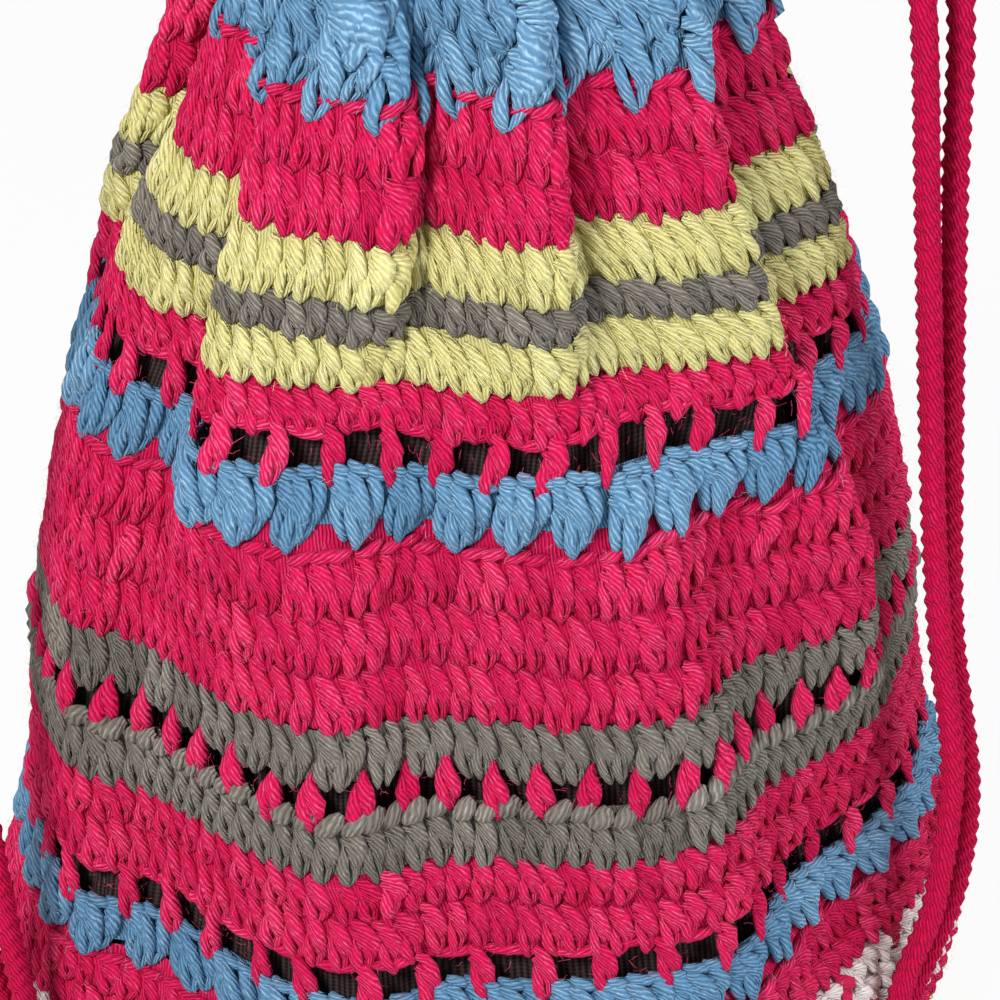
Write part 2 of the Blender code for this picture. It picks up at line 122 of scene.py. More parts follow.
# The drawcords' own points, right then left, as in the CAD source
RIGHT_RISE = (
    (0.1268, -0.0427, 0.0425), (0.1272, -0.0428, 0.0530), (0.1305, -0.0430, 0.0700),
    (0.1365, -0.0425, 0.0950), (0.1390, -0.0385, 0.1400), (0.1330, -0.0350, 0.1836),
    (0.1282, -0.0335, 0.2306), (0.1219, -0.0320, 0.3132), (0.1170, -0.0300, 0.3780),
    (0.1120, -0.0240, 0.4080), (0.1010, -0.0150, 0.4270), (0.0880, -0.0080, 0.4310),
    (0.0770, -0.0045, 0.4300), (0.0690, -0.0042, 0.4293))
RIGHT_FALL = (
    (0.0690, 0.0085, 0.4293), (0.0770, 0.0085, 0.4300), (0.0920, 0.0060, 0.4350),
    (0.1090, -0.0010, 0.4340), (0.1230, -0.0120, 0.4090), (0.1281, -0.0190, 0.3740),
    (0.1296, -0.0220, 0.3200), (0.1333, -0.0240, 0.2412), (0.1372, -0.0260, 0.1820),
    (0.1450, -0.0300, 0.1300), (0.1440, -0.0325, 0.0950), (0.1380, -0.0340, 0.0700),
    (0.1326, -0.0349, 0.0530), (0.1318, -0.0349, 0.0425))
LEFT_RISE = (
    (-0.1283, -0.0717, 0.0425), (-0.1284, -0.0720, 0.0530), (-0.1330, -0.0765, 0.0900),
    (-0.1380, -0.0730, 0.1311), (-0.1440, -0.0600, 0.2000), (-0.1430, -0.0500, 0.3000),
    (-0.1400, -0.0400, 0.3600), (-0.1320, -0.0310, 0.4020), (-0.1160, -0.0210, 0.4230),
    (-0.0940, -0.0140, 0.4240), (-0.0790, -0.0115, 0.4210), (-0.0690, -0.0110, 0.4203))
LEFT_FALL = (
    (-0.0690, 0.0040, 0.4203), (-0.0790, 0.0040, 0.4210), (-0.0950, 0.0020, 0.4270),
    (-0.1200, -0.0030, 0.4290), (-0.1400, -0.0140, 0.4060), (-0.1500, -0.0260, 0.3600),
    (-0.1530, -0.0420, 0.3000), (-0.1530, -0.0530, 0.2000), (-0.1475, -0.0640, 0.1400),
    (-0.1420, -0.0690, 0.0900), (-0.1352, -0.0652, 0.0530), (-0.1345, -0.0649, 0.0425))

# Camera, from the photograph's rows and edges
CAMERA_AT = (0.0066, -0.92867, 0.81197)
CAMERA_TO = (0.0066, -0.09, 0.26732)
CAMERA_LENS = 136.8
CAMERA_SENSOR = 36.0


def smooth(x: np.ndarray) -> np.ndarray:
    """Ease from 0 to 1 as x goes from 0 to 1."""
    x = np.clip(x, 0.0, 1.0)
    return x * x * (3.0 - 2.0 * x)


def through(points: Sequence[Sequence[float]], parts: int) -> np.ndarray:
    """Return points on a smooth curve through a route's own points.

    Args:
        points: the route's own points.
        parts: how many pieces each stretch between two of them gets.
    """
    own = np.array(points, dtype=float)
    ends = np.vstack([own[:1], own, own[-1:]])
    t = (np.arange(parts) / parts)[:, None]
    out = []
    for number in range(len(own) - 1):
        before, start, end, after = ends[number:number + 4]
        out.append(0.5 * (2.0 * start + (end - before) * t
                          + (2.0 * before - 5.0 * start + 4.0 * end - after) * t**2
                          + (3.0 * start - before - 3.0 * end + after) * t**3))
    return np.vstack(out + [own[-1:]])


def lengths(path: np.ndarray) -> np.ndarray:
    """Return the length along a path at each of its points."""
    return np.concatenate([[0.0], np.cumsum(np.linalg.norm(np.diff(path, axis=0), axis=1))])


def whole_length(path: np.ndarray) -> float:
    """Return a path's whole length."""
    return np.linalg.norm(np.diff(path, axis=0), axis=1).sum()


def even(path: np.ndarray, count: int) -> np.ndarray:
    """Return a path's points again at an even step.

    Args:
        path: the points.
        count: how many points to return.
    """
    length = lengths(path)
    steps = np.linspace(0.0, length[-1], count)
    return at_lengths(steps, length, path)


def at_lengths(steps: np.ndarray, length: np.ndarray, path: np.ndarray) -> np.ndarray:
    """Return a path's points at some steps, from the length at each of its own points."""
    return np.column_stack([np.interp(steps, length, column) for column in path.T])


def unit(vectors: np.ndarray) -> np.ndarray:
    """Return vectors with a length of 1."""
    return vectors / np.linalg.norm(vectors, axis=-1)[..., None]


def squarish(angle: np.ndarray, power: float) -> list[np.ndarray]:
    """Return the sine and cosine of an angle, each to a power but with its own sign."""
    return [np.sign(way) * np.abs(way) ** power for way in (np.sin(angle), np.cos(angle))]


def new_mesh() -> BMesh:
    """Return an empty mesh with a UV map."""
    mesh = bmesh.new()
    mesh.loops.layers.uv.new("UVMap")
    return mesh


def add_grid(mesh: BMesh, across: int, up: int) -> list[bmesh.types.BMVert]:
    """Add a flat grid from -1 to 1 to a mesh and return its vertices."""
    old = set(mesh.verts)
    grid = bmesh.ops.create_grid(mesh, x_segments=across, y_segments=up, size=1.0)["verts"]
    return [vert for vert in grid if vert not in old]


def set_uv(mesh: BMesh, faces: Iterable, spot: Callable) -> None:
    """Shade faces smooth and set their UV map, with spot giving a vertex's place on it."""
    layer = mesh.loops.layers.uv["UVMap"]
    for face in faces:
        face.smooth = True
        for loop in face.loops:
            loop[layer].uv = spot(loop.vert)


def add_tube(mesh: BMesh, rings: int, sides: int, at: Callable) -> None:
    """Add an open tube.

    Args:
        mesh: the mesh to add it to.
        rings: how many rings it has.
        sides: how many sides it has.
        at: what gives the point and the place on the UV map for a ring and a side.
    """
    grid = add_grid(mesh, rings - 1, sides)
    spots = {}
    for vert in grid:
        i = int(round((vert.co.x + 1.0) * 0.5 * (rings - 1)))
        j = int(round((vert.co.y + 1.0) * 0.5 * sides))
        spot, spots[vert] = at(i, j)
        vert.co = Vector(spot)
    set_uv(mesh, {face for vert in grid for face in vert.link_faces}, spots.get)
    bmesh.ops.remove_doubles(mesh, verts=grid, dist=1e-7)


def close_holes(mesh: BMesh, below: float) -> None:
    """Close the holes whose edges lie below a height, and turn all faces outwards."""
    edges = [edge for edge in mesh.edges if edge.is_boundary and all(vert.co.z < below for vert in edge.verts)]
    bmesh.ops.holes_fill(mesh, edges=edges, sides=0)
    bmesh.ops.recalc_face_normals(mesh, faces=mesh.faces)


def to_data(mesh: BMesh, name: str) -> bpy.types.Mesh:
    """Turn a bmesh into mesh data and free it."""
    data = bpy.data.meshes.new(name)
    mesh.to_mesh(data)
    mesh.free()
    return data


def take(whole: BMesh, part: bpy.types.Mesh) -> None:
    """Move mesh data into a bmesh."""
    whole.from_mesh(part)
    bpy.data.meshes.remove(part)


def points_of(mesh: bpy.types.Mesh) -> np.ndarray:
    """Return a mesh's points."""
    co = np.empty(len(mesh.vertices) * 3)
    mesh.vertices.foreach_get("co", co)
    return co.reshape(-1, 3)


def mark(mesh: bpy.types.Mesh, name: str, values: np.ndarray) -> None:
    """Give each vertex of a mesh a value, as an attribute."""
    mesh.attributes.new(name, "FLOAT", "POINT").data.foreach_set("value", values)


def add_object(name: str, data: bpy.types.ID) -> bpy.types.Object:
    """Put data into the scene as an object."""
    made = bpy.data.objects.new(name, data)
    bpy.context.scene.collection.objects.link(made)
    return made


def add_piece(name: str, mesh: BMesh, node: str, material: bpy.types.Material) -> bpy.types.Object:
    """Add a piece that stands for a CAD node.

    Args:
        name: the piece's name.
        mesh: its shape, which is freed.
        node: the CAD node.
        material: its material.
    """
    data = to_data(mesh, name)
    data.materials.append(material)
    made = add_object(name, data)
    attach(made, "root")
    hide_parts(node)
    LOG.info("%s: %d faces", name, len(data.polygons))
    return made


class Yarn(Enum):
    """The yarns, by the record's material slot."""

    PINK = "pink_yarn"
    BLUE = "blue_yarn"
    YELLOW = "yellow_yarn"
    GREY = "grey_yarn"
    WHITE = "white_yarn"
    CORD = "drawcord_yarn"


@dataclass(frozen=True)
class Strand:
    """One strand of a stitch.

    Attributes:
        points: (across, up, out): shares of the cell's width and height, and millimetres.
        radii: the strand's radius at each point in millimetres.
        rings: how many rings it has.
    """

    points: Sequence[tuple[float, float, float]]
    radii: Sequence[float]
    rings: int = 6


def leaf(x: float, foot: float, top: float, lean: float = 0.0, wide: float = 1.0, thick: float = 1.0,
         out: float = 0.0) -> list[Strand]:
    """Return a tall stitch: a cap that sweeps down to the right, and legs that meet in a point below.

    Args:
        x: the stitch's middle as a share of the cell.
        foot: the height of its point.
        top: the height of its head.
        lean: how far the head stands to the right of the foot.
        wide: scale of its width.
        thick: scale of its strands.
        out: how much further out than the wall it stands, in millimetres.
    """
    up = top - foot

    def at(across: float, height: float, away: float) -> tuple[float, float, float]:
        return (x + wide * across + lean * (height - 0.5), foot + up * height, thick * away + out)

    def radii(*sizes: float) -> list[float]:
        return [thick * size for size in sizes]

    return [
        Strand([at(-0.50, 0.99, 0.3), at(-0.25, 0.94, 1.2), at(0.03, 0.80, 1.7), at(0.27, 0.59, 1.6),
                at(0.40, 0.38, 1.0), at(0.38, 0.22, 0.0)], radii(1.2, 1.75, 1.95, 1.85, 1.45, 1.0)),
        Strand([at(-0.48, 0.78, 0.3), at(-0.24, 0.72, 1.2), at(0.03, 0.55, 1.5), at(0.18, 0.36, 1.2),
                at(0.18, 0.20, 0.3)], radii(1.1, 1.4, 1.5, 1.3, 1.0), 5),
        Strand([at(-0.36, 0.66, 0.2), at(-0.32, 0.50, 1.3), at(-0.25, 0.30, 2.0), at(-0.13, 0.10, 1.8),
                at(0.01, -0.06, 0.9)], radii(0.9, 1.45, 1.7, 1.6, 0.8)),
        Strand([at(0.34, 0.34, 0.1), at(0.22, 0.14, 0.8), at(0.06, -0.04, 0.5)], radii(1.1, 1.4, 0.8), 4),
    ]


def chain(x: float, y: float, width: float, out: float = 1.6, thick: float = 1.0, rise: float = 0.06) -> Strand:
    """Return the chain loop along a stitch's head.

    Args:
        x: its middle as a share of the cell.
        y: its height as a share of the cell.
        width: its width as a share of the cell.
        out: how far it stands out in millimetres.
        thick: scale of its strand.
        rise: how much higher its right end is, as a share of the cell.
    """
    return Strand([(x - 0.58 * width, y - rise, out - 1.1), (x - 0.25 * width, y - 0.4 * rise, out),
                   (x + 0.22 * width, y + 0.4 * rise, out), (x + 0.58 * width, y + rise, out - 1.1)],
                  [0.9 * thick, 1.75 * thick, 1.7 * thick, 0.9 * thick], 5)


class Cell(Enum):
    """The kinds of stitch."""

    TALL = "tall"
    EDGED = "edged"
    PAIR = "pair"
    LOWER_PAIR = "lower_pair"
    TEARDROP = "teardrop"
    SHELL = "shell"
    POST = "post"
    LEG = "leg"
    PUFF = "puff"


TALL_LEAF = leaf(0.0, -0.05, 0.93, 0.06)
CELLS = {
    Cell.TALL: TALL_LEAF,
    # Tall stitches with the chain of the last round on top
    Cell.EDGED: [*TALL_LEAF, chain(0.0, 1.0, 1.0, 2.0, 1.1)],
    # Stitches that lean together in pairs
    Cell.PAIR: [*leaf(-0.21, -0.12, 1.02, -0.14, 0.46), *leaf(0.22, -0.12, 1.02, 0.16, 0.46)],
    # The paired row under the single posts, with its chain
    Cell.LOWER_PAIR: [
        *leaf(-0.25, -0.12, 0.92, 0.02, 0.48), *leaf(0.25, -0.12, 0.92, 0.02, 0.48),
        chain(-0.24, 0.93, 0.36, 2.5, 1.85, 0.16), chain(0.25, 0.93, 0.34, 2.2, 1.7, 0.16)],
    # Single leaf-shaped posts
    Cell.TEARDROP: [
        Strand([(0.04, 1.38, 0.9), (0.0, 1.18, 1.7), (0.05, 0.88, 2.6), (0.14, 0.52, 2.7), (0.17, 0.16, 2.0),
                (0.13, -0.08, 0.8)], [0.8, 1.8, 2.3, 2.3, 1.8, 0.9]),
        Strand([(-0.07, 1.02, 1.0), (-0.12, 0.72, 2.2), (-0.12, 0.32, 2.8), (-0.07, -0.08, 2.5),
                (0.0, -0.40, 1.6)], [0.9, 1.8, 2.2, 2.0, 0.8]),
        Strand([(0.11, 0.16, 1.3), (0.06, -0.10, 1.8), (0.01, -0.38, 1.4)], [1.3, 1.5, 0.8], 4),
        Strand([(0.0, 1.10, 0.8), (0.02, 0.78, 1.6), (0.03, 0.40, 1.8), (0.02, 0.04, 1.3)],
               [1.0, 1.7, 1.9, 1.4], 4)],
    # A fan of three stitches with a chain edge
    Cell.SHELL: [
        *leaf(-0.27, 0.13, 0.92, -0.13, 0.42, 1.25, 0.1), *leaf(0.0, 0.06, 0.92, 0.0, 0.42, 1.25, 1.7),
        *leaf(0.27, 0.14, 0.92, 0.15, 0.42, 1.25, -0.1), chain(-0.34, 0.93, 0.38, 1.9, 1.1, -0.06),
        chain(0.0, 0.97, 0.38, 2.2, 1.1, -0.06), chain(0.34, 0.94, 0.38, 1.9, 1.1, -0.06)],
    # A post on the seam between two shells, and the loop over the gap
    Cell.POST: [
        *leaf(-0.50, -0.40, 1.18, 0.03, 0.34, 1.05, 0.9),
        Strand([(-0.44, 1.10, 0.2), (-0.2, 1.02, 0.6), (0.2, 1.02, 0.6), (0.44, 1.10, 0.2)],
               [1.2, 1.9, 1.9, 1.2])],
    # The neck's lowest row: a raised leg that ends in a point, with a hollow beside it
    Cell.LEG: [*leaf(-0.22, -0.42, 1.10, -0.06, 0.62, 1.25, 0.9),
               *leaf(0.30, 0.05, 1.06, 0.14, 0.40, 1.0, -0.4)],
    # The neck: raised stitches that cross in a thick cluster
    Cell.PUFF: [
        *leaf(-0.24, -0.30, 1.10, -0.22, 0.56, 1.30, 0.6), *leaf(0.26, -0.22, 1.06, 0.26, 0.50, 1.20, 0.0),
        Strand([(0.34, -0.05, 1.0), (0.16, 0.25, 2.9), (-0.08, 0.62, 3.2), (-0.30, 1.0, 1.4)],
               [1.3, 2.2, 2.2, 1.3])],
}
# The share for a row without a wall behind it
OPEN = 1.0


@dataclass(frozen=True)
class Row:
    """One row of stitches.

    Attributes:
        cell: the kind of stitch.
        count: how many cells go round.
        height: the row's height.
        turn: how far round the first cell stands, in cells.
        backed: from which share of its height up a wall of yarn closes the row behind its stitches.
        motif: which of every four stitches is worked in pink, from 1, or 0 for none.
    """

    cell: Cell
    count: int
    height: float
    turn: float = 0.0
    backed: float = 0.0
    motif: int = 0


@dataclass(frozen=True)
class Band:
    """One band of yarn, as one piece.

    Attributes:
        node: the CAD node that it replaces.
        yarn: its yarn.
        height: the band's height.
        half: the bag's half width and half depth at its lower edge.
        rows: its rows, from below.
    """

    node: str
    yarn: Yarn
    height: float
    half: tuple[float, float]
    rows: tuple[Row, ...]


def tall(height: float, turn: float = 0.0, motif: int = 0) -> Row:
    """Return a row of tall stitches."""
    return Row(Cell.TALL, STITCHES, height, turn, 0.0, motif)


def edged(height: float, turn: float) -> Row:
    """Return a row of tall stitches with a chain on top."""
    return Row(Cell.EDGED, STITCHES, height, turn)


def shells(height: float) -> Row:
    """Return a row of shells."""
    return Row(Cell.SHELL, SHELLS, height, 0.0, 0.34)


def posts() -> Row:
    """Return a row of openwork posts."""
    return Row(Cell.POST, SHELLS, POST_HEIGHT, 0.0, OPEN)


BANDS = (
    Band("yellow_foot_band", Yarn.YELLOW, 0.016, (0.137, 0.106), (tall(0.016),)),
    Band("pink_foot_band", Yarn.PINK, 0.013, (0.145, 0.113), (tall(0.013, 0.5),)),
    Band("white_patterned_band", Yarn.WHITE, 0.038, (0.146, 0.116),
         (tall(0.0095), tall(0.0095, 0.2, 1), tall(0.0095, 0.4), tall(0.0095, 0.6, 3))),
    Band("pink_lower_band", Yarn.PINK, 0.0205, (0.142, 0.114), (tall(0.0100, 0.2), edged(0.0105, 0.4))),
    Band("blue_lower_shell_row", Yarn.BLUE, 0.019, (0.137, 0.110), (shells(0.019),)),
    Band("pink_lower_post_band", Yarn.PINK, 0.0405, (0.1335, 0.107),
         (posts(), tall(0.0165, 0.1), tall(0.0135, 0.3))),
    Band("grey_lower_row", Yarn.GREY, 0.018, (0.1305, 0.103), (Row(Cell.LOWER_PAIR, POSTS, 0.018, 0.5),)),
    Band("pink_teardrop_row", Yarn.PINK, 0.0105, (0.1285, 0.101),
         (Row(Cell.TEARDROP, POSTS, 0.0105, 0.0, OPEN),)),
    Band("grey_upper_row", Yarn.GREY, 0.016, (0.1270, 0.100), (Row(Cell.PAIR, POSTS, 0.016, 0.5),)),
    Band("pink_middle_band", Yarn.PINK, 0.053, (0.1250, 0.099),
         (tall(0.0178, 0.5), tall(0.0176, 0.65), edged(0.0176, 0.8))),
    Band("blue_upper_shell_row", Yarn.BLUE, 0.0225, (0.1135, 0.094), (shells(0.0225),)),
    Band("pink_upper_post_band", Yarn.PINK, 0.0230, (0.1065, 0.091), (posts(), tall(0.0125, 0.1))),
    Band("yellow_lower_row", Yarn.YELLOW, 0.0138, (0.0995, 0.086), (tall(0.0138, 0.25),)),
    Band("grey_stripe_row", Yarn.GREY, 0.0095, (0.0945, 0.083), (tall(0.0095, 0.4),)),
    Band("yellow_upper_row", Yarn.YELLOW, 0.0160, (0.0905, 0.081), (tall(0.0160, 0.55),)),
    Band("pink_upper_band", Yarn.PINK, 0.0335, (0.0825, 0.076), (tall(0.0165, 0.7), edged(0.0170, 0.85))),
)
NECK_BAND = Band("blue_neck_band", Yarn.BLUE, NECK_HEIGHT, NECK_FOOT_HALF, (
    Row(Cell.LEG, NECK_LEGS, 0.013),
    *(Row(Cell.PUFF, NECK_LEGS, 0.0135, turn) for turn in (0.1, 0.2, 0.3, 0.4)),
    Row(Cell.SHELL, NECK_LEGS, 0.014, 0.5)))


class BagWall:
    """The gathered wall of the bag, as a table of points and outward directions."""

    SHARES = 1200
    TURNS = 1440
    STEP = 0.0015
    EYELET_SLACK = 0.0022

    def __init__(self) -> None:
        """Work out the table from the CAD source's own numbers."""
        self.feet = [BASE_THICK + ROW_GAP]
        for band in BANDS:
            self.feet.append(self.feet[-1] + band.height + ROW_GAP)
        self.neck = self.feet[-1]
        self.top = self.neck + NECK_HEIGHT
        self.cord_z = self.neck + CORD_LEVEL
        self.eyelet = (self.cord_z - 0.5 * EYELET_HEIGHT, self.cord_z + 0.5 * EYELET_HEIGHT)
        rows = [(0.0, *BASE_HALF)]
        rows += [(z, *band.half) for z, band in zip(self.feet, BANDS)]
        rows += [(self.neck, *NECK_FOOT_HALF), (self.cord_z, *NECK_HALF), (self.top, *RUFFLE_HALF)]
        self.profile = np.array(rows)
        self.levels = np.arange(-0.006, self.top + 0.006, self.STEP)
        self.points = np.array([self.ring(z) for z in self.levels])
        along = np.roll(self.points[:, :-1], -1, axis=1) - np.roll(self.points[:, :-1], 1, axis=1)
        along = np.concatenate([along, along[:, :1]], axis=1)
        up = np.gradient(self.points, axis=0)
        face = np.cross(along, up)
        self.facing = unit(face)

    def half_sizes(self, z: float) -> np.ndarray:
        """Return the bag's half width and half depth at a height."""
        rows = self.profile
        z = float(np.clip(z, 0.0, self.top))
        row = int(np.clip(np.searchsorted(rows[:, 0], z) - 1, 0, len(rows) - 2))
        low, high = rows[row], rows[row + 1]
        before, after = rows[max(row - 1, 0)], rows[min(row + 2, len(rows) - 1)]
        span = high[0] - low[0]
        t = (z - low[0]) / span
        slope_low = (high - before) / max(high[0] - before[0], span) * span
        slope_high = (after - low) / max(after[0] - low[0], span) * span
        value = ((2 * t**3 - 3 * t**2 + 1) * low + (t**3 - 2 * t**2 + t) * slope_low
                 + (-2 * t**3 + 3 * t**2) * high + (t**3 - t**2) * slope_high)
        return value[1:]

    def plain(self, turns: np.ndarray, z: float) -> np.ndarray:
        """Return points of the outline without folds, from the front round to the right."""
        half_width, half_depth = self.half_sizes(z)
        across, along = squarish(TAU * turns, 2.0 / SQUARENESS)
        right = np.maximum(across, 0.0)
        left = np.minimum(across, 0.0)
        skew = SKEW_BASE * smooth((SKEW_LEVEL - z) / SKEW_LEVEL)
        bulge = smooth((BULGE_LEVEL - z) / BULGE_DROP) * right
        bulge = bulge + smooth((LEFT_BULGE_LEVEL - z) / LEFT_BULGE_DROP) * left
        return np.column_stack([half_width * (across + BULGE * bulge), -half_depth * along + skew * right**2])

    def folds(self, turns: np.ndarray, z: float) -> tuple[np.ndarray, np.ndarray]:
        """Return how far the folds push the outline outwards and forwards."""
        rise = smooth((z - FOLD_WAIST) / (FOLD_TOP - FOLD_WAIST))
        drop = smooth((FOLD_HIP - z) / (FOLD_HIP - FOLD_FOOT))
        width = FOLD_WIDTH_FOOT + rise * (FOLD_WIDTH_NECK - FOLD_WIDTH_FOOT)
        out = np.zeros_like(turns)
        shift = np.zeros_like(turns)
        for neck, waist, foot, depth, fades, full, lean in FOLDS:
            place = waist + rise * (neck - waist) + drop * (foot - waist)
            deep = depth * smooth((z - fades) / (full - fades)) * (1.0 + NECK_GATHER * rise)
            x = ((turns - place + 0.5) % 1.0 - 0.5) / width
            wave = -lean * deep * x * np.exp(0.5 - 0.5 * x * x)
            out += wave
            shift += lean * LEAN * (1.0 - NECK_UPRIGHT * rise) * wave
        return out, shift

    def waves(self, turns: np.ndarray, z: float) -> np.ndarray:
        """Return the soft waves into which the folds run out below."""
        deep = WAVE_DEPTH * smooth((z - WAVE_FOOT[0]) / WAVE_FOOT[1])
        deep = deep * smooth((WAVE_HEAD[0] - z) / WAVE_HEAD[1])
        deep = deep * smooth((np.abs(np.cos(TAU * turns)) - WAVE_SIDE[0]) / WAVE_SIDE[1])
        start = WAVE_START - WAVE_SLANT * (z - WAVE_LEVEL)
        return deep * np.cos(TAU * WAVES * (turns - start))

    def ring(self, z: float) -> np.ndarray:
        """Return the folded outline at a height, at even shares of its length."""
        turns = np.arange(self.TURNS) / self.TURNS
        plain = self.plain(turns, z)
        step = np.roll(plain, -1, axis=0) - np.roll(plain, 1, axis=0)
        forward = unit(step)
        outward = np.column_stack([forward[:, 1], -forward[:, 0]])
        out, shift = self.folds(turns, z)
        wave = self.waves(turns, z)
        out, shift = out + wave, shift + WAVE_LEAN * wave
        ring = plain + outward * out[:, None] + forward * shift[:, None]
        ring = np.vstack([ring, ring[:1]])
        length = lengths(ring)
        shares = np.linspace(0.0, length[-1], self.SHARES + 1)
        return np.column_stack([at_lengths(shares, length, ring), np.full(self.SHARES + 1, z)])

    def place(self, share: np.ndarray, z: np.ndarray, off: np.ndarray) -> np.ndarray:
        """Return points on the wall.

        Args:
            share: shares of the way round from the front.
            z: heights.
            off: distances outwards from the middle of the wall.
        """
        u = (share % 1.0) * self.SHARES
        v = np.clip((z - self.levels[0]) / self.STEP, 0.0, len(self.levels) - 1.001)
        i, j = u.astype(int), v.astype(int)
        fu, fv = (u - i)[:, None], (v - j)[:, None]
        out = []
        for table in (self.points, self.facing):
            low = table[j, i] * (1 - fu) + table[j, i + 1] * fu
            high = table[j + 1, i] * (1 - fu) + table[j + 1, i + 1] * fu
            out.append(low * (1 - fv) + high * fv)
        return out[0] + unit(out[1]) * off[:, None]

    def crossing(self, share: np.ndarray) -> np.ndarray:
        """Tell at which shares of the way round the drawcords run through the wall."""
        ring = self.ring(self.cord_z)
        turns = np.arange(self.TURNS) / self.TURNS
        plain = self.plain(turns, self.cord_z)
        place = (share % 1.0) * self.SHARES
        spot = ring[np.round(place).astype(int)][:, :2]
        gap = np.linalg.norm(plain[None, :, :] - spot[:, None, :], axis=2).min(axis=1)
        return gap < 0.5 * (CORD_DIAMETER + WALL) + self.EYELET_SLACK


@dataclass
class Socket:
    """A shader value that can be used in sums."""

    graph: "Graph"
    plug: object

    def _math(self, kind: str, other: object = None) -> "Socket":
        return self.graph.node("ShaderNodeMath", {0: self, 1: other}, operation=kind)

    def __add__(self, other: object) -> "Socket":
        return self._math("ADD", other)

    def __mul__(self, other: object) -> "Socket":
        return self._math("MULTIPLY", other)

    def sin(self) -> "Socket":
        """Return the sine."""
        return self._math("SINE")

    def power(self, other: float) -> "Socket":
        """Return the value to a power."""
        return self._math("POWER", other)

    def ramp(self, low: float, high: float) -> "Socket":
        """Return 0 below low and 1 above high, eased between them."""
        ends = {0: self, 1: low, 2: high}
        return self.graph.node("ShaderNodeMapRange", ends, interpolation_type="SMOOTHSTEP")


class Graph:
    """A material's nodes."""

    def __init__(self, name: str) -> None:
        """Start a material with its Principled shader."""
        self.material = bpy.data.materials.new(name)
        self.material.use_nodes = True
        self.tree = self.material.node_tree
        self.shader = self.tree.nodes["Principled BSDF"]

    def uv(self) -> tuple[Socket, Socket]:
        """Return the two numbers of the UV map."""
        first = self.node("ShaderNodeSeparateXYZ", {0: self.node("ShaderNodeUVMap", uv_map="UVMap")})
        return first, Socket(self, first.plug.node.outputs[1])

    def node(self, kind: str, inputs: dict | None = None, output: object = 0, **settings: object) -> Socket:
        """Make a node and return one of its outputs.

        Args:
            kind: the node's type.
            inputs: sockets or numbers by input index or name.
            output: the output's index or name.
            settings: the node's own settings.
        """
        made = self.tree.nodes.new(kind)
        for key, value in settings.items():
            setattr(made, key, value)
        for key, value in (inputs or {}).items():
            if isinstance(value, Socket):
                self.tree.links.new(value.plug, made.inputs[key])
            elif value is not None:
                made.inputs[key].default_value = value
        return Socket(self, made.outputs[output])

    def link(self, value: Socket, name: str) -> None:
        """Join a value to an input of the shader."""
        self.tree.links.new(value.plug, self.shader.inputs[name])

    def settle(self, values: dict[str, object]) -> None:
        """Set constants of the shader."""
        for name, value in values.items():
            self.shader.inputs[name].default_value = value

    def mix(self, factor: Socket, low: object, high: object) -> Socket:
        """Mix two colours."""
        return self.node("ShaderNodeMix", {0: factor, 6: low, 7: high}, 2, data_type="RGBA")

    def noise(self, scale: float, detail: float = 2.0, where: Socket | None = None) -> Socket:
        """Return noise in object space, or over another vector."""
        where = where or self.node("ShaderNodeTexCoord", output="Object")
        return self.node("ShaderNodeTexNoise", {"Vector": where, "Scale": scale, "Detail": detail}, 0)


@dataclass(frozen=True)
class Tone:
    """A yarn's colours, linear: painted shade in its grooves, plain, and painted highlight at its lit fibres.
    """

    deep: tuple[float, float, float]
    plain: tuple[float, float, float]
    light: tuple[float, float, float]


# Each yarn's painted groove shade, plain colour and painted highlight
TONES = {
    Yarn.PINK: Tone((0.33, 0.0005, 0.024), (0.73, 0.011, 0.102), (0.95, 0.130, 0.285)),
    Yarn.BLUE: Tone((0.035, 0.095, 0.190), (0.130, 0.300, 0.500), (0.38, 0.60, 0.80)),
    Yarn.YELLOW: Tone((0.40, 0.33, 0.09), (0.76, 0.72, 0.30), (0.93, 0.90, 0.55)),
    Yarn.GREY: Tone((0.058, 0.051, 0.043), (0.205, 0.188, 0.163), (0.43, 0.40, 0.35)),
    Yarn.WHITE: Tone((0.62, 0.50, 0.48), (0.93, 0.85, 0.83), (0.99, 0.96, 0.95)),
    Yarn.CORD: Tone((0.30, 0.0005, 0.020), (0.66, 0.006, 0.080), (0.88, 0.070, 0.200)),
}
# How many plies show round a strand, and how closely they are twisted along it
PLIES = 9.0
PLY_WAVES = 360.0
# How fine the noise is that bends the plies, roughens them and tints patches of yarn
BEND_NOISE, ROUGH_NOISE, PATCH_NOISE = 230.0, 420.0, 38.0
# How much a ply, its fibres, the stitch's own tint and its patch lighten the yarn; plies and fibres lighten it
# as painted highlight on their crowns and leave painted shade in the grooves between them
PLY_LIGHT, FIBRE_LIGHT, TINT_LIGHT, PATCH_LIGHT = 0.56, 0.50, 0.30, 0.20
BUMP_DEPTH = 0.0006
RIB_WAVES, KNIT_WAVES = 420.0, 300.0
FLOOR_GLOW = 0.93
# A full turn, as the shaders use it
FULL_TURN = 6.2832


def rgba(colour: Sequence[float]) -> tuple[float, float, float, float]:
    """Return a colour with full alpha."""
    return (*colour, 1.0)


def join(tree: bpy.types.NodeTree, links: Sequence) -> None:
    """Join outputs to inputs in a tree of nodes."""
    for start, end in links:
        tree.links.new(start, end)


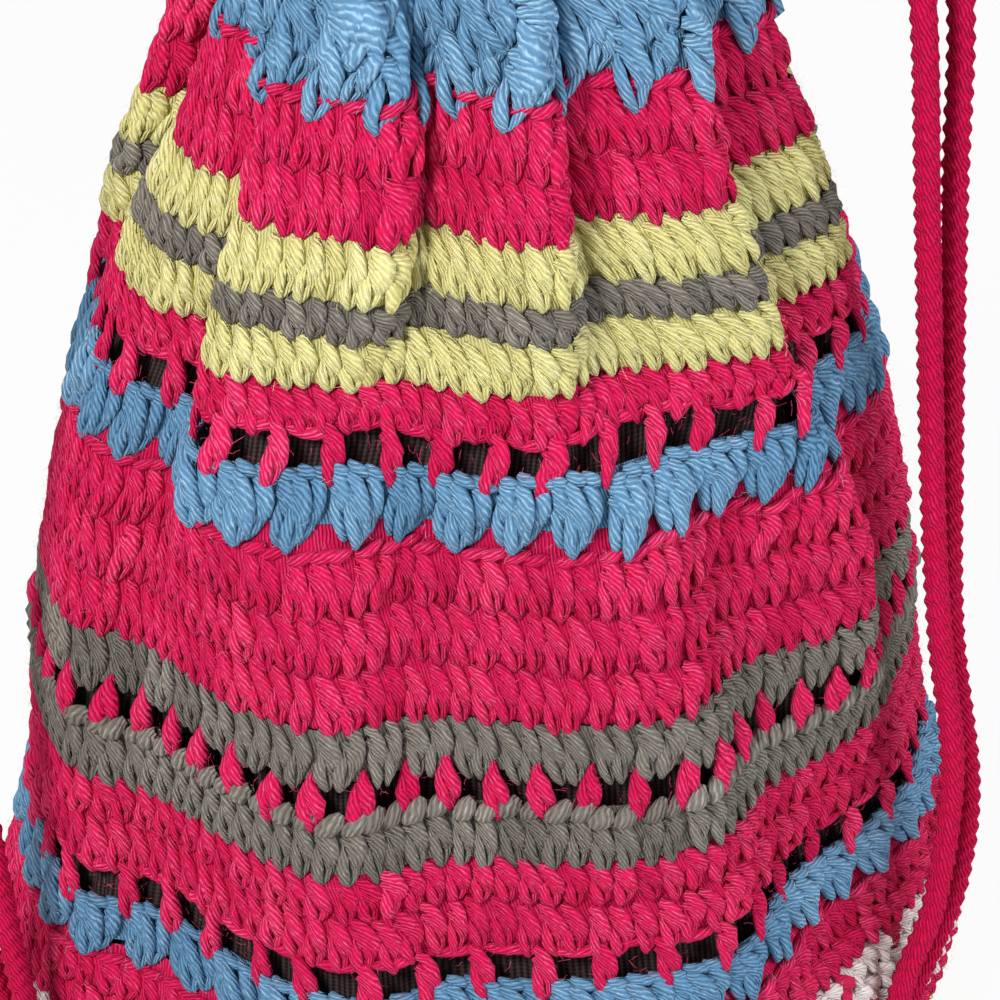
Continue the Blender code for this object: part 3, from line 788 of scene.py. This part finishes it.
def yarn_material(yarn: Yarn) -> bpy.types.Material:
    """Return a plied wool material: twisted plies with painted shade in their grooves and painted highlight on
    their crowns and fibres, loose fibres and a tint of its own in each stitch.
    """
    graph = Graph(yarn.value)
    tone = TONES[yarn]
    along, around = graph.uv()
    bend = graph.noise(BEND_NOISE, 1.0)
    phase = along * PLY_WAVES + around * PLIES + bend * 1.1
    streaks = graph.node("ShaderNodeCombineXYZ", {0: along * 300.0, 1: around * 30.0, 2: phase * 0.5})
    fibre = graph.noise(1.0, 3.0, streaks)
    wave = (phase * FULL_TURN + fibre * 1.4).sin() * 0.5 + 0.5
    ply = wave.power(0.8) * (graph.noise(ROUGH_NOISE, 1.0) * 1.3 + 0.25)
    # This attribute carries each stitch's own tint, the painted shade of the wall behind and the painted
    # highlight of loose fibres
    tint_shade_and_highlight = graph.node("ShaderNodeAttribute", output="Fac", attribute_name="tint_shade_and_highlight")
    patch = graph.noise(PATCH_NOISE)
    level = ply * PLY_LIGHT + fibre * FIBRE_LIGHT + tint_shade_and_highlight * TINT_LIGHT + patch * PATCH_LIGHT
    # The colour runs from the painted groove shade through the plain yarn to the painted highlight
    colour = graph.mix(level.ramp(0.25, 0.72), rgba(tone.deep), rgba(tone.plain))
    colour = graph.mix(level.ramp(0.80, 1.35), colour, rgba(tone.light))
    # The white yarn's motif stitches are pink, with pink's painted groove shade
    if yarn is Yarn.WHITE:
        motif = graph.node("ShaderNodeAttribute", output="Fac", attribute_name="motif")
        pink = TONES[Yarn.PINK]
        colour = graph.mix(motif, colour, graph.mix(level.ramp(0.25, 0.9), rgba(pink.deep), rgba(pink.plain)))
    graph.link(colour, "Base Color")
    height = ply * 0.85 + fibre * 0.40
    bump = graph.node("ShaderNodeBump", {"Strength": 0.95, "Distance": BUMP_DEPTH, "Height": height})
    graph.link(bump, "Normal")
    graph.settle({"Roughness": 0.88, "Specular IOR Level": 0.08, "Sheen Weight": 0.08, "Sheen Roughness": 0.5,
                  "Sheen Tint": rgba(tone.light)})
    return graph.material


def lining_material() -> bpy.types.Material:
    """Return the lining's dark ribbed knit."""
    graph = Graph("lining_cloth")
    across, up = graph.uv()
    rib = (across * FULL_TURN * RIB_WAVES).sin() * 0.5 + 0.5
    knit = (up * FULL_TURN * KNIT_WAVES).sin() * 0.5 + 0.5
    level = rib * 0.6 + knit * 0.25 + graph.noise(400.0) * 0.3
    dark, light = rgba((0.012, 0.007, 0.008)), rgba((0.075, 0.048, 0.050))
    graph.link(graph.mix(level.ramp(0.2, 1.0), dark, light), "Base Color")
    bump = graph.node("ShaderNodeBump", {"Strength": 0.6, "Distance": BUMP_DEPTH, "Height": level})
    graph.link(bump, "Normal")
    graph.settle({"Roughness": 0.95, "Specular IOR Level": 0.15})
    return graph.material


def floor_material() -> bpy.types.Material:
    """Return the plain pale floor's material."""
    graph = Graph("pale_floor")
    grain = graph.noise(3.0)
    graph.link(graph.mix(grain, rgba((0.90, 0.90, 0.90)), rgba((0.93, 0.93, 0.93))), "Base Color")
    graph.settle({"Roughness": 0.8, "Specular IOR Level": 0.1})
    glow = graph.tree.nodes.new("ShaderNodeEmission")
    mix = graph.tree.nodes.new("ShaderNodeMixShader")
    seen = graph.node("ShaderNodeLightPath", output="Is Camera Ray") * FLOOR_GLOW
    output = graph.tree.nodes["Material Output"]
    join(graph.tree, (
        (seen.plug, mix.inputs[0]), (graph.shader.outputs[0], mix.inputs[1]),
        (glow.outputs[0], mix.inputs[2]), (mix.outputs[0], output.inputs["Surface"])))
    return graph.material


class Knitter:
    """Makes the pieces of yarn."""

    SEED = 7
    MOST = 1.8
    # How much stitches differ: in place and width along the row, slant, height (mm) and depth
    SIDEWAYS, WIDER, SLANT, UPWARDS, DEEPER = 0.45, 0.09, 0.09, 0.60, 0.16
    # Slow wander of a whole row (mm), and its waves round the bag
    WANDER, WANDER_WAVES, SWAY_WAVES = 0.35, (5, 11, 23), 17.0
    SWAY_LEAN = 9.0
    SINK = 0.3 * MM
    # A stitch's middle tint, and how much chance changes it
    TINT, TINT_CHANCE = 0.5, 0.28
    # Loose fibres: how many to a square metre of wall, their width (mm), their high tint that paints them pale
    # as a highlight, and place in the cell
    FIBRES, FIBRE_WIDTH, FIBRE_TINT, FIBRE_PITCH = 56000.0, 0.035, 2.2, 4.0
    # Their least length and how much is left to chance, the same for their foot and rise (mm), and their bend
    FIBRE_LENGTH, FIBRE_FOOT, FIBRE_RISE, FIBRE_BEND = (1.2, 2.6), (2.2, 1.2), (0.3, 1.5), 2.4
    # The wall behind: how much higher than its row it reaches, how far it bulges (mm), and how dark it is
    # painted, as shade in the gaps between stitches
    REACH, EDGED_REACH = 1.02, 1.46
    BULGE, DIP, STANDS, RIPPLE, BACKING_TINT = 1.5, 0.5, 0.2, 0.2, 0.2
    BACKING_DROP, BACKING_UV = 0.01, 40.0

    def __init__(self, wall: BagWall) -> None:
        """Keep the wall and make the materials."""
        self.wall = wall
        self.materials = {yarn: yarn_material(yarn) for yarn in Yarn}
        self.random = np.random.default_rng(self.SEED)

    @staticmethod
    def tube(mesh: BMesh, path: np.ndarray, radii: np.ndarray) -> None:
        """Add a strand along a path, a little flattened, with its length and the way round as its UV map.

        Args:
            mesh: the mesh to add it to.
            path: the strand's middle line.
            radii: its radius at each point.
        """
        step = unit(np.gradient(path, axis=0))
        side = np.cross(step, np.array((0.0, 0.0, 1.0)))
        side /= np.linalg.norm(side, axis=1)[:, None] + 1e-9
        up = np.cross(side, step)
        length = lengths(path)

        def at(i: int, j: int) -> tuple[np.ndarray, tuple[float, float]]:
            angle = TAU * j / SIDES
            spot = path[i] + radii[i] * (FLAT * np.cos(angle) * up[i] + np.sin(angle) * side[i])
            return spot, (length[i], j / SIDES)

        add_tube(mesh, len(path), SIDES, at)

    def cell(self, strands: Sequence[Strand], pitch: float, height: float) -> bpy.types.Object:
        """Return one stitch's cell as an object, flat: x along the row, y up it and z outwards.

        Args:
            strands: the stitch's strands.
            pitch: the cell's width.
            height: the cell's height.
        """
        mesh = new_mesh()
        for one in strands:
            own = np.array(one.points) * (pitch, height, MM)
            path = even(through(own, 6), one.rings)
            share = np.linspace(0.0, len(own) - 1, one.rings)
            radii = np.interp(share, np.arange(len(own)), one.radii) * MM
            self.tube(mesh, path, radii)
        return bpy.data.objects.new("cell", to_data(mesh, "cell"))

    def repeated(self, cell: bpy.types.Object, pitch: float, count: int) -> bpy.types.Mesh:
        """Return a cell repeated along its row."""
        bpy.context.scene.collection.objects.link(cell)
        array = cell.modifiers.new("row", "ARRAY")
        array.count = count
        array.use_relative_offset = False
        array.use_constant_offset = True
        array.constant_offset_displace = (pitch, 0.0, 0.0)
        seen = cell.evaluated_get(bpy.context.evaluated_depsgraph_get())
        made = bpy.data.meshes.new_from_object(seen)
        bpy.data.objects.remove(cell, do_unlink=True)
        return made

    def row(self, row: Row, foot: float) -> bpy.types.Mesh:
        """Return one row of stitches on the wall.

        Args:
            row: the row.
            foot: the height of its lower edge.
        """
        pitch = whole_length(self.wall.ring(foot + 0.5 * row.height)) / row.count
        mesh = self.repeated(self.cell(CELLS[row.cell], pitch, row.height), pitch, row.count)
        co = points_of(mesh)
        column = np.arange(len(co)) // (len(co) // row.count)
        chance = np.clip(self.random.normal(size=(row.count, 5))[column], -self.MOST, self.MOST)
        middle = column * pitch
        x = co[:, 0] + chance[:, 0] * self.SIDEWAYS * MM
        x = x + chance[:, 1] * self.SLANT * (co[:, 1] - 0.4 * row.height)
        y = co[:, 1] + chance[:, 2] * self.UPWARDS * MM
        x = middle + (x - middle) * (1.0 + self.WIDER * chance[:, 3])
        off = co[:, 2] * (1.0 + self.DEEPER * chance[:, 4]) - self.SINK
        share = (x / pitch + row.turn) / row.count
        waves = self.random.uniform(0.0, 6.28, 3)
        wander = sum(np.sin(TAU * share * count + start) for count, start in zip(self.WANDER_WAVES, waves))
        sway = self.WANDER * MM * np.sin(TAU * share * self.SWAY_WAVES + waves[1])
        x = x + sway * np.sin(self.SWAY_LEAN * y / row.height)
        share = (x / pitch + row.turn) / row.count
        spots = self.wall.place(share, foot + y + self.WANDER * MM * wander, off)
        mesh.vertices.foreach_set("co", spots.ravel())
        mark(mesh, "tint_shade_and_highlight", np.clip(self.TINT + self.TINT_CHANCE * chance[:, 4], 0.0, 1.0))
        low, high = self.wall.eyelet
        if row.cell is Cell.PUFF and foot < high and foot + row.height > low:
            self.drop(mesh, self.wall.crossing((np.arange(row.count) + row.turn) / row.count)[column])
        if row.motif:
            mark(mesh, "motif", (column % 4 == row.motif - 1).astype(float))
        return mesh

    @staticmethod
    def drop(mesh: bpy.types.Mesh, gone: np.ndarray) -> None:
        """Delete the marked vertices of a mesh."""
        work = bmesh.new()
        work.from_mesh(mesh)
        work.verts.ensure_lookup_table()
        bmesh.ops.delete(work, geom=[work.verts[i] for i in np.flatnonzero(gone)], context="VERTS")
        work.to_mesh(mesh)
        work.free()

    def fuzz(self, foot: float, height: float) -> bpy.types.Mesh:
        """Return the loose fibres that stand off a band of yarn, as slivers painted pale as a highlight.

        Args:
            foot: the height of the band's lower edge.
            height: the band's height.
        """
        mesh = new_mesh()
        add_grid(mesh, 2, 1)
        ring = whole_length(self.wall.ring(foot + 0.5 * height))
        count = int(ring * height * self.FIBRES)
        made = self.repeated(bpy.data.objects.new("fibre", to_data(mesh, "fibre")), self.FIBRE_PITCH, count)
        co = points_of(made)
        which = np.arange(len(co)) // (len(co) // count)
        along = 0.5 * (co[:, 0] - self.FIBRE_PITCH * which + 1.0)
        draw = self.random.uniform(0.0, 1.0, (count, 7))[which]
        turn = TAU * draw[:, 0]
        length, base, rise = (least + more * draw[:, column] for column, (least, more) in (
            (1, self.FIBRE_LENGTH), (3, self.FIBRE_FOOT), (4, self.FIBRE_RISE)))
        length = length * MM
        bend = (draw[:, 2] - 0.5) * self.FIBRE_BEND
        x = length * (along * np.cos(turn + bend * along)) - co[:, 1] * self.FIBRE_WIDTH * MM * np.sin(turn)
        y = length * (along * np.sin(turn + bend * along)) + co[:, 1] * self.FIBRE_WIDTH * MM * np.cos(turn)
        off = (base + rise * along) * MM
        spots = self.wall.place(draw[:, 5] + x / ring, foot + height * (0.02 + 0.96 * draw[:, 6]) + y, off)
        made.vertices.foreach_set("co", spots.ravel())
        # Painted highlight: the loose fibres take a high tint that pales them
        mark(made, "tint_shade_and_highlight", np.full(len(co), self.FIBRE_TINT))
        return made

    def backing(self, row: Row, foot: float) -> bpy.types.Mesh:
        """Return the wall of yarn behind a row's stitches, painted darker as shade in the gaps between them."""
        mesh = new_mesh()
        add_grid(mesh, 2 * STITCHES, 3)
        set_uv(mesh, mesh.faces, lambda vert: (
            0.5 * (vert.co.y + 1.0) * row.height, self.BACKING_UV * (vert.co.x + 1.0)))
        co = np.array([vert.co for vert in mesh.verts])
        share = 0.5 * (co[:, 0] + 1.0)
        reach = self.EDGED_REACH if row.cell is Cell.EDGED else self.REACH
        bulge = self.STANDS
        if row.cell in (Cell.TALL, Cell.EDGED):
            bulge = self.BULGE * np.cos(0.5 * np.pi * co[:, 1]) - self.DIP
        off = (bulge + self.RIPPLE * np.cos(TAU * share * STITCHES)) * MM
        up = row.backed + (1.0 - row.backed) * 0.5 * (co[:, 1] + 1.0) * reach
        z = foot + row.height * (up - self.BACKING_DROP)
        for vert, spot in zip(mesh.verts, self.wall.place(share, z, off)):
            vert.co = Vector(spot)
        if row.cell is Cell.PUFF:
            low, high = self.wall.eyelet
            gone = self.wall.crossing(share) & (z > low) & (z < high)
            bmesh.ops.delete(mesh, geom=[vert for vert, out in zip(mesh.verts, gone) if out], context="VERTS")
        bmesh.ops.remove_doubles(mesh, verts=mesh.verts, dist=1e-6)
        made = to_data(mesh, "backing")
        # Painted shade: the wall behind gets a low tint, so the gaps between stitches look dark
        mark(made, "tint_shade_and_highlight", np.full(len(made.vertices), self.BACKING_TINT))
        return made

    def band(self, band: Band, foot: float) -> bpy.types.Object:
        """Return one band of yarn as a piece.

        Args:
            band: the band.
            foot: the height of its lower edge.
        """
        whole = bmesh.new()
        take(whole, self.fuzz(foot, band.height))
        for row in band.rows:
            take(whole, self.row(row, foot))
            if row.backed < OPEN:
                take(whole, self.backing(row, foot))
            foot += row.height
        return self.piece(band.node + "_stitches", whole, band.yarn, band.node)

    def piece(self, name: str, mesh: BMesh, yarn: Yarn, node: str) -> bpy.types.Object:
        """Turn a bmesh into a piece of yarn that stands for a CAD node."""
        return add_piece(name, mesh, node, self.materials[yarn])


class Maker:
    """Something that makes pieces with a knitter's yarn."""

    def __init__(self, knitter: Knitter) -> None:
        """Keep the knitter and the wall."""
        self.knitter = knitter
        self.wall = knitter.wall


class Extras(Maker):
    """The base, the strap tabs and the lining."""

    TAB_SIZE = (0.027, 0.0065, 0.024)
    TAB_LEVEL = 0.018
    TAB_PLACES = {"right_strap_tab": 0.150, "left_strap_tab": 0.845}
    TAB_PROBE = 0.004
    TAB_YARN = 0.0018
    TAB_STITCHES = 10
    TAB_ROWS = 3.2
    BASE_ROUNDS = 7
    BASE_INSET = 0.015
    BASE_MIDDLE = 0.0030
    BASE_LEVELS = (0.0002, 0.0049)
    # The base's stitches in a round against the wall's, the radius for their heights, and the last round's end
    BASE_SHARE, BASE_RADIUS, BASE_REACH = 0.6, 0.118, 0.985
    DISC_LIFT, DISC_SIDES = 0.0008, 80
    RIBS = 130
    LINING_ROWS = 20
    # The lining's cut: its sheet, with the wall's width at the foot, then the wall's top width and height,
    # and the oval floor's width and depth
    LINING_CUT = (0.84, 0.62)
    LINING_WALL = (0.61, 0.40)
    LINING_FLOOR = (0.28, 0.22)
    LINING_THICK = 0.0008
    LINING_INSET = 0.0055
    LINING_GAP = 0.0005
    RIB_DEPTH = 0.4

    def patch(self, rows: Sequence[tuple[Row, float]], place: Callable, pitch: float) -> BMesh:
        """Return rows of stitches on a surface of its own.

        Args:
            rows: the rows and the height of each one's lower edge.
            place: what turns shares of the way round, heights and offsets into points.
            pitch: the width of a stitch.
        """
        whole = bmesh.new()
        for row, foot in rows:
            cell = self.knitter.cell(CELLS[row.cell], pitch, row.height)
            mesh = self.knitter.repeated(cell, pitch, row.count)
            co = points_of(mesh)
            share = (co[:, 0] / pitch + row.turn) / row.count
            mesh.vertices.foreach_set("co", place(share, foot + co[:, 1], co[:, 2]).ravel())
            mark(mesh, "tint_shade_and_highlight", np.full(len(co), self.knitter.TINT))
            take(whole, mesh)
        return whole

    def base(self) -> None:
        """Add the base: rounds of stitches on a flat oval, which the bag stands on."""
        rim = self.wall.ring(0.0)[:, :2]
        length = whole_length(rim)
        ring = 1.0 / self.BASE_ROUNDS

        def place(share: np.ndarray, inwards: np.ndarray, off: np.ndarray) -> np.ndarray:
            at = (share % 1.0) * self.wall.SHARES
            edge = at_lengths(at, np.arange(len(rim)), rim)
            keep = np.clip(1.0 - self.BASE_INSET - inwards[:, None], 0.0, 1.0)
            return np.column_stack([edge * keep, np.clip(self.BASE_MIDDLE - 0.8 * off, *self.BASE_LEVELS)])

        whole = bmesh.new()
        for number in range(self.BASE_ROUNDS):
            count = max(int(self.BASE_SHARE * STITCHES * (1.0 - (number + 0.5) * ring)), 6)
            pitch = length * (1.0 - (number + 0.5) * ring) / count
            height = ring * self.BASE_RADIUS

            def spot(share: np.ndarray, up: np.ndarray, off: np.ndarray) -> np.ndarray:
                return place(share, (number + up / height) * ring * self.BASE_REACH, off)

            rows = [(Row(Cell.TALL, count, height, 0.3 * number), 0.0)]
            take(whole, to_data(self.patch(rows, spot, pitch), "round"))
        disc = bmesh.ops.create_circle(whole, cap_ends=True, segments=self.DISC_SIDES, radius=1.0)["verts"]
        for vert in disc:
            share = np.array([np.arctan2(vert.co.x, -vert.co.y) / TAU % 1.0])
            vert.co = Vector(place(share, np.array([0.0]), np.array([0.0]))[0] + (0.0, 0.0, self.DISC_LIFT))
        self.knitter.piece("pink_base_stitches", whole, Yarn.PINK, "pink_base")

    def tab(self, node: str, turns: float) -> None:
        """Add one strap tab as a thick crocheted tab.

        Args:
            node: the CAD node.
            turns: its place round the bag.
        """
        width, thick, height = self.TAB_SIZE
        level = self.TAB_LEVEL + 0.5 * height
        outer = np.array([turns - self.TAB_PROBE, turns, turns + self.TAB_PROBE])
        spots = self.wall.plain(outer, level)
        along = spots[2] - spots[0]
        along /= np.linalg.norm(along)
        out = np.array([along[1], -along[0]])
        heights = np.linspace(self.TAB_LEVEL, self.TAB_LEVEL + height, 5)
        reach = max(float((self.wall.plain(outer, z) @ out).max()) for z in heights)
        centre = spots[1] + out * (reach - spots[1] @ out + 0.5 * (WALL + thick) + ROW_GAP)
        angle = np.linspace(0.0, TAU, 241)
        across, front = squarish(angle, 0.5)
        loop = np.column_stack([across * (0.5 * width - self.TAB_YARN), -front * (0.5 * thick - self.TAB_YARN)])
        length = lengths(loop)

        def place(share: np.ndarray, up: np.ndarray, off: np.ndarray) -> np.ndarray:
            x, y = at_lengths((share % 1.0) * length[-1], length, loop).T
            face = unit(np.column_stack([x / (0.5 * width) ** 2, y / (0.5 * thick) ** 2]))
            close = 1.0 - 0.9 * smooth((np.abs(up - 0.5 * height) - 0.44 * height) / (0.12 * height))
            x, y = x + face[:, 0] * off * 0.8, (y + face[:, 1] * off * 0.8) * close
            spot = centre + along * x[:, None] - out * y[:, None]
            return np.column_stack([spot, self.TAB_LEVEL + np.clip(up, 0.0005, height - 0.0003)])

        rows = [(Row(Cell.TALL, self.TAB_STITCHES, height / self.TAB_ROWS, 0.3 * number),
                 self.TAB_YARN + number * height / self.TAB_ROWS) for number in range(3)]
        patch = self.patch(rows, place, length[-1] / self.TAB_STITCHES)
        self.knitter.piece(node + "_stitches", patch, Yarn.PINK, node)

    def lining(self) -> None:
        """Add the ribbed cloth lining, which stands on the base and hangs inside the folds."""
        low, high = BASE_THICK + ROW_GAP + self.LINING_GAP, self.wall.neck - self.LINING_GAP
        mesh = new_mesh()
        sides = 2 * self.RIBS
        grid = add_grid(mesh, sides, self.LINING_ROWS)
        set_uv(mesh, mesh.faces, lambda vert: (0.5 * (vert.co.x + 1.0), 0.5 * (vert.co.y + 1.0)))
        share = np.array([0.5 * (vert.co.x + 1.0) for vert in grid])
        z = np.array([low + (high - low) * 0.5 * (vert.co.y + 1.0) for vert in grid])
        rib = np.where(np.round(share * sides).astype(int) % 2, self.RIB_DEPTH, -self.RIB_DEPTH) * MM
        for vert, spot in zip(grid, self.wall.place(share, z, rib - self.LINING_INSET)):
            vert.co = Vector(spot)
        bmesh.ops.remove_doubles(mesh, verts=mesh.verts, dist=1e-6)
        close_holes(mesh, 0.5 * high)
        made = add_piece("lining_cloth", mesh, "lining", lining_material())
        wall = made.modifiers.new("cloth", "SOLIDIFY")
        wall.thickness = self.LINING_THICK
        wall.offset = -1.0


class Cords(Maker):
    """The two drawcords: columns of V stitches round a tube."""

    COLUMNS = 4
    STITCH = 0.0052
    # The step between two rings of the tube, its sides, how far stitches bulge and how far the tube is sunk
    RING = 0.00105
    SIDES = 16
    BULGE = 0.00055
    SINK = 0.0003

    def route(self, rise: Sequence, fall: Sequence, run: tuple[float, float], z: float) -> np.ndarray:
        """Return a cord's middle line at an even step.

        Args:
            rise: its points from its tab up to the neck.
            fall: its points from the neck down to its tab.
            run: where it goes into the neck and comes out, in turns.
            z: its height in the neck.
        """
        turns = np.linspace(run[0], run[1], NECK_RUN_POINTS)
        inside = [(x, y, z) for x, y in self.wall.plain(turns, self.wall.cord_z)]
        path = through([*rise, *inside, *fall], 12)
        return even(path, int(round(whole_length(path) / self.RING)) + 1)

    def add(self, node: str, path: np.ndarray) -> bpy.types.Object:
        """Add one drawcord as a crocheted tube."""
        mesh = new_mesh()
        step = unit(np.gradient(path, axis=0))
        up = np.empty_like(path)
        side = np.cross(step[0], (0.0, -1.0, 0.0))
        for i, forward in enumerate(step):
            side = side - forward * (side @ forward)
            side /= np.linalg.norm(side)
            up[i] = np.cross(side, forward)
        sides = np.cross(step, up)
        length = np.arange(len(path)) * self.RING

        def at(i: int, j: int) -> tuple[np.ndarray, tuple[float, float]]:
            around = (j % self.SIDES) / self.SIDES
            vee = abs((around * self.COLUMNS) % 1.0 - 0.5) * 2.0
            phase = length[i] / self.STITCH + 0.55 * vee + 0.5 * (int(around * self.COLUMNS) % 2)
            bulge = self.BULGE * (np.sin(TAU * phase) * 0.9 + 0.9 * np.sin(np.pi * vee) - 0.6)
            angle = TAU * around
            radius = 0.5 * CORD_DIAMETER - self.SINK + bulge
            spot = path[i] + radius * (np.cos(angle) * up[i] + np.sin(angle) * sides[i])
            return spot, (length[i], 2.0 * j / self.SIDES)

        add_tube(mesh, len(path), self.SIDES, at)
        close_holes(mesh, self.wall.top)
        piece = self.knitter.piece(node + "_crocheted", mesh, Yarn.CORD, node)
        points = [tuple(map(float, spot)) for spot in path]
        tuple(points[0])
        return piece


class Studio:
    """Camera, lights, background and floor."""

    # Name, place, size, power and colour
    LIGHTS = (
        ("key", (-0.62, -0.92, 1.20), 0.35, 19.5, (1.0, 0.98, 0.95)),
        ("fill", (1.3, -0.6, 0.8), 0.8, 13.0, (0.96, 0.98, 1.0)),
        ("top", (0.1, 0.6, 1.7), 1.4, 4.0, (1.0, 1.0, 1.0)),
    )
    AIM = (0.0, 0.0, 0.22)
    SOFT_LIGHT = 0.20
    FLOOR_HALF = 4.0

    def build(self) -> None:
        """Set the whole studio up."""
        self.camera()
        for light in self.LIGHTS:
            self.light(*light)
        self.world()
        self.floor()

    @staticmethod
    def camera() -> None:
        """Add the camera at the photograph's angle."""
        data = bpy.data.cameras.new("camera")
        data.lens = CAMERA_LENS
        data.sensor_width = CAMERA_SENSOR
        data.clip_end = 50.0
        camera = add_object("camera", data)
        camera.location = CAMERA_AT
        camera.rotation_euler = (Vector(CAMERA_TO) - Vector(CAMERA_AT)).to_track_quat("-Z", "Y").to_euler()
        bpy.context.scene.camera = camera

    def light(self, name: str, at: tuple[float, float, float], size: float, power: float,
              colour: tuple[float, float, float]) -> None:
        """Add a soft square light that faces the bag."""
        data = bpy.data.lights.new(name, "AREA")
        data.size = size
        data.energy = power
        data.color = colour
        lamp = add_object(name, data)
        lamp.location = at
        lamp.rotation_euler = (Vector(self.AIM) - Vector(at)).to_track_quat("-Z", "Y").to_euler()

    def world(self) -> None:
        """Make the background white for the camera and a soft light for the rest."""
        world = bpy.data.worlds.new("studio")
        bpy.context.scene.world = world
        world.use_nodes = True
        tree = world.node_tree
        tree.nodes.clear()
        kinds = ("OutputWorld", "MixShader", "Background", "Background", "LightPath", "Math", "Math")
        output, mix, soft, white, path, either, both = (tree.nodes.new("ShaderNode" + kind) for kind in kinds)
        either.operation = both.operation = "MAXIMUM"
        for shade, strength in ((soft, self.SOFT_LIGHT), (white, 1.0)):
            shade.inputs["Color"].default_value = (1.0, 1.0, 1.0, 1.0)
            shade.inputs["Strength"].default_value = strength
        join(tree, (
            (path.outputs["Is Camera Ray"], either.inputs[0]),
            (path.outputs["Is Glossy Ray"], either.inputs[1]),
            (either.outputs[0], both.inputs[0]), (path.outputs["Is Transmission Ray"], both.inputs[1]),
            (both.outputs[0], mix.inputs[0]), (soft.outputs[0], mix.inputs[1]),
            (white.outputs[0], mix.inputs[2]), (mix.outputs[0], output.inputs["Surface"])))

    def floor(self) -> None:
        """Add the floor that the bag stands on."""
        mesh = bmesh.new()
        bmesh.ops.create_grid(mesh, x_segments=1, y_segments=1, size=self.FLOOR_HALF)
        data = to_data(mesh, "floor")
        data.materials.append(floor_material())
        add_object("floor", data)


def main() -> None:
    """Build the looks of the whole bag."""
    logging.basicConfig(level=logging.INFO, format="%(message)s")
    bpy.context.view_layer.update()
    bpy.context.scene.view_settings.view_transform = "Standard"
    wall = BagWall()
    Studio().build()
    knitter = Knitter(wall)
    cords = Cords(knitter)
    right_z, left_z = wall.cord_z + 0.5 * CORD_SPACING, wall.cord_z - 0.5 * CORD_SPACING
    cords.add("right_drawcord", cords.route(RIGHT_RISE, RIGHT_FALL, RIGHT_NECK_RUN, right_z))
    cords.add("left_drawcord", cords.route(LEFT_RISE, LEFT_FALL, LEFT_NECK_RUN, left_z))
    for band, foot in zip((*BANDS, NECK_BAND), wall.feet):
        knitter.band(band, foot)
    extras = Extras(knitter)
    extras.base()
    for node, turns in Extras.TAB_PLACES.items():
        extras.tab(node, turns)
    extras.lining()


if __name__ == "__main__":
    main()
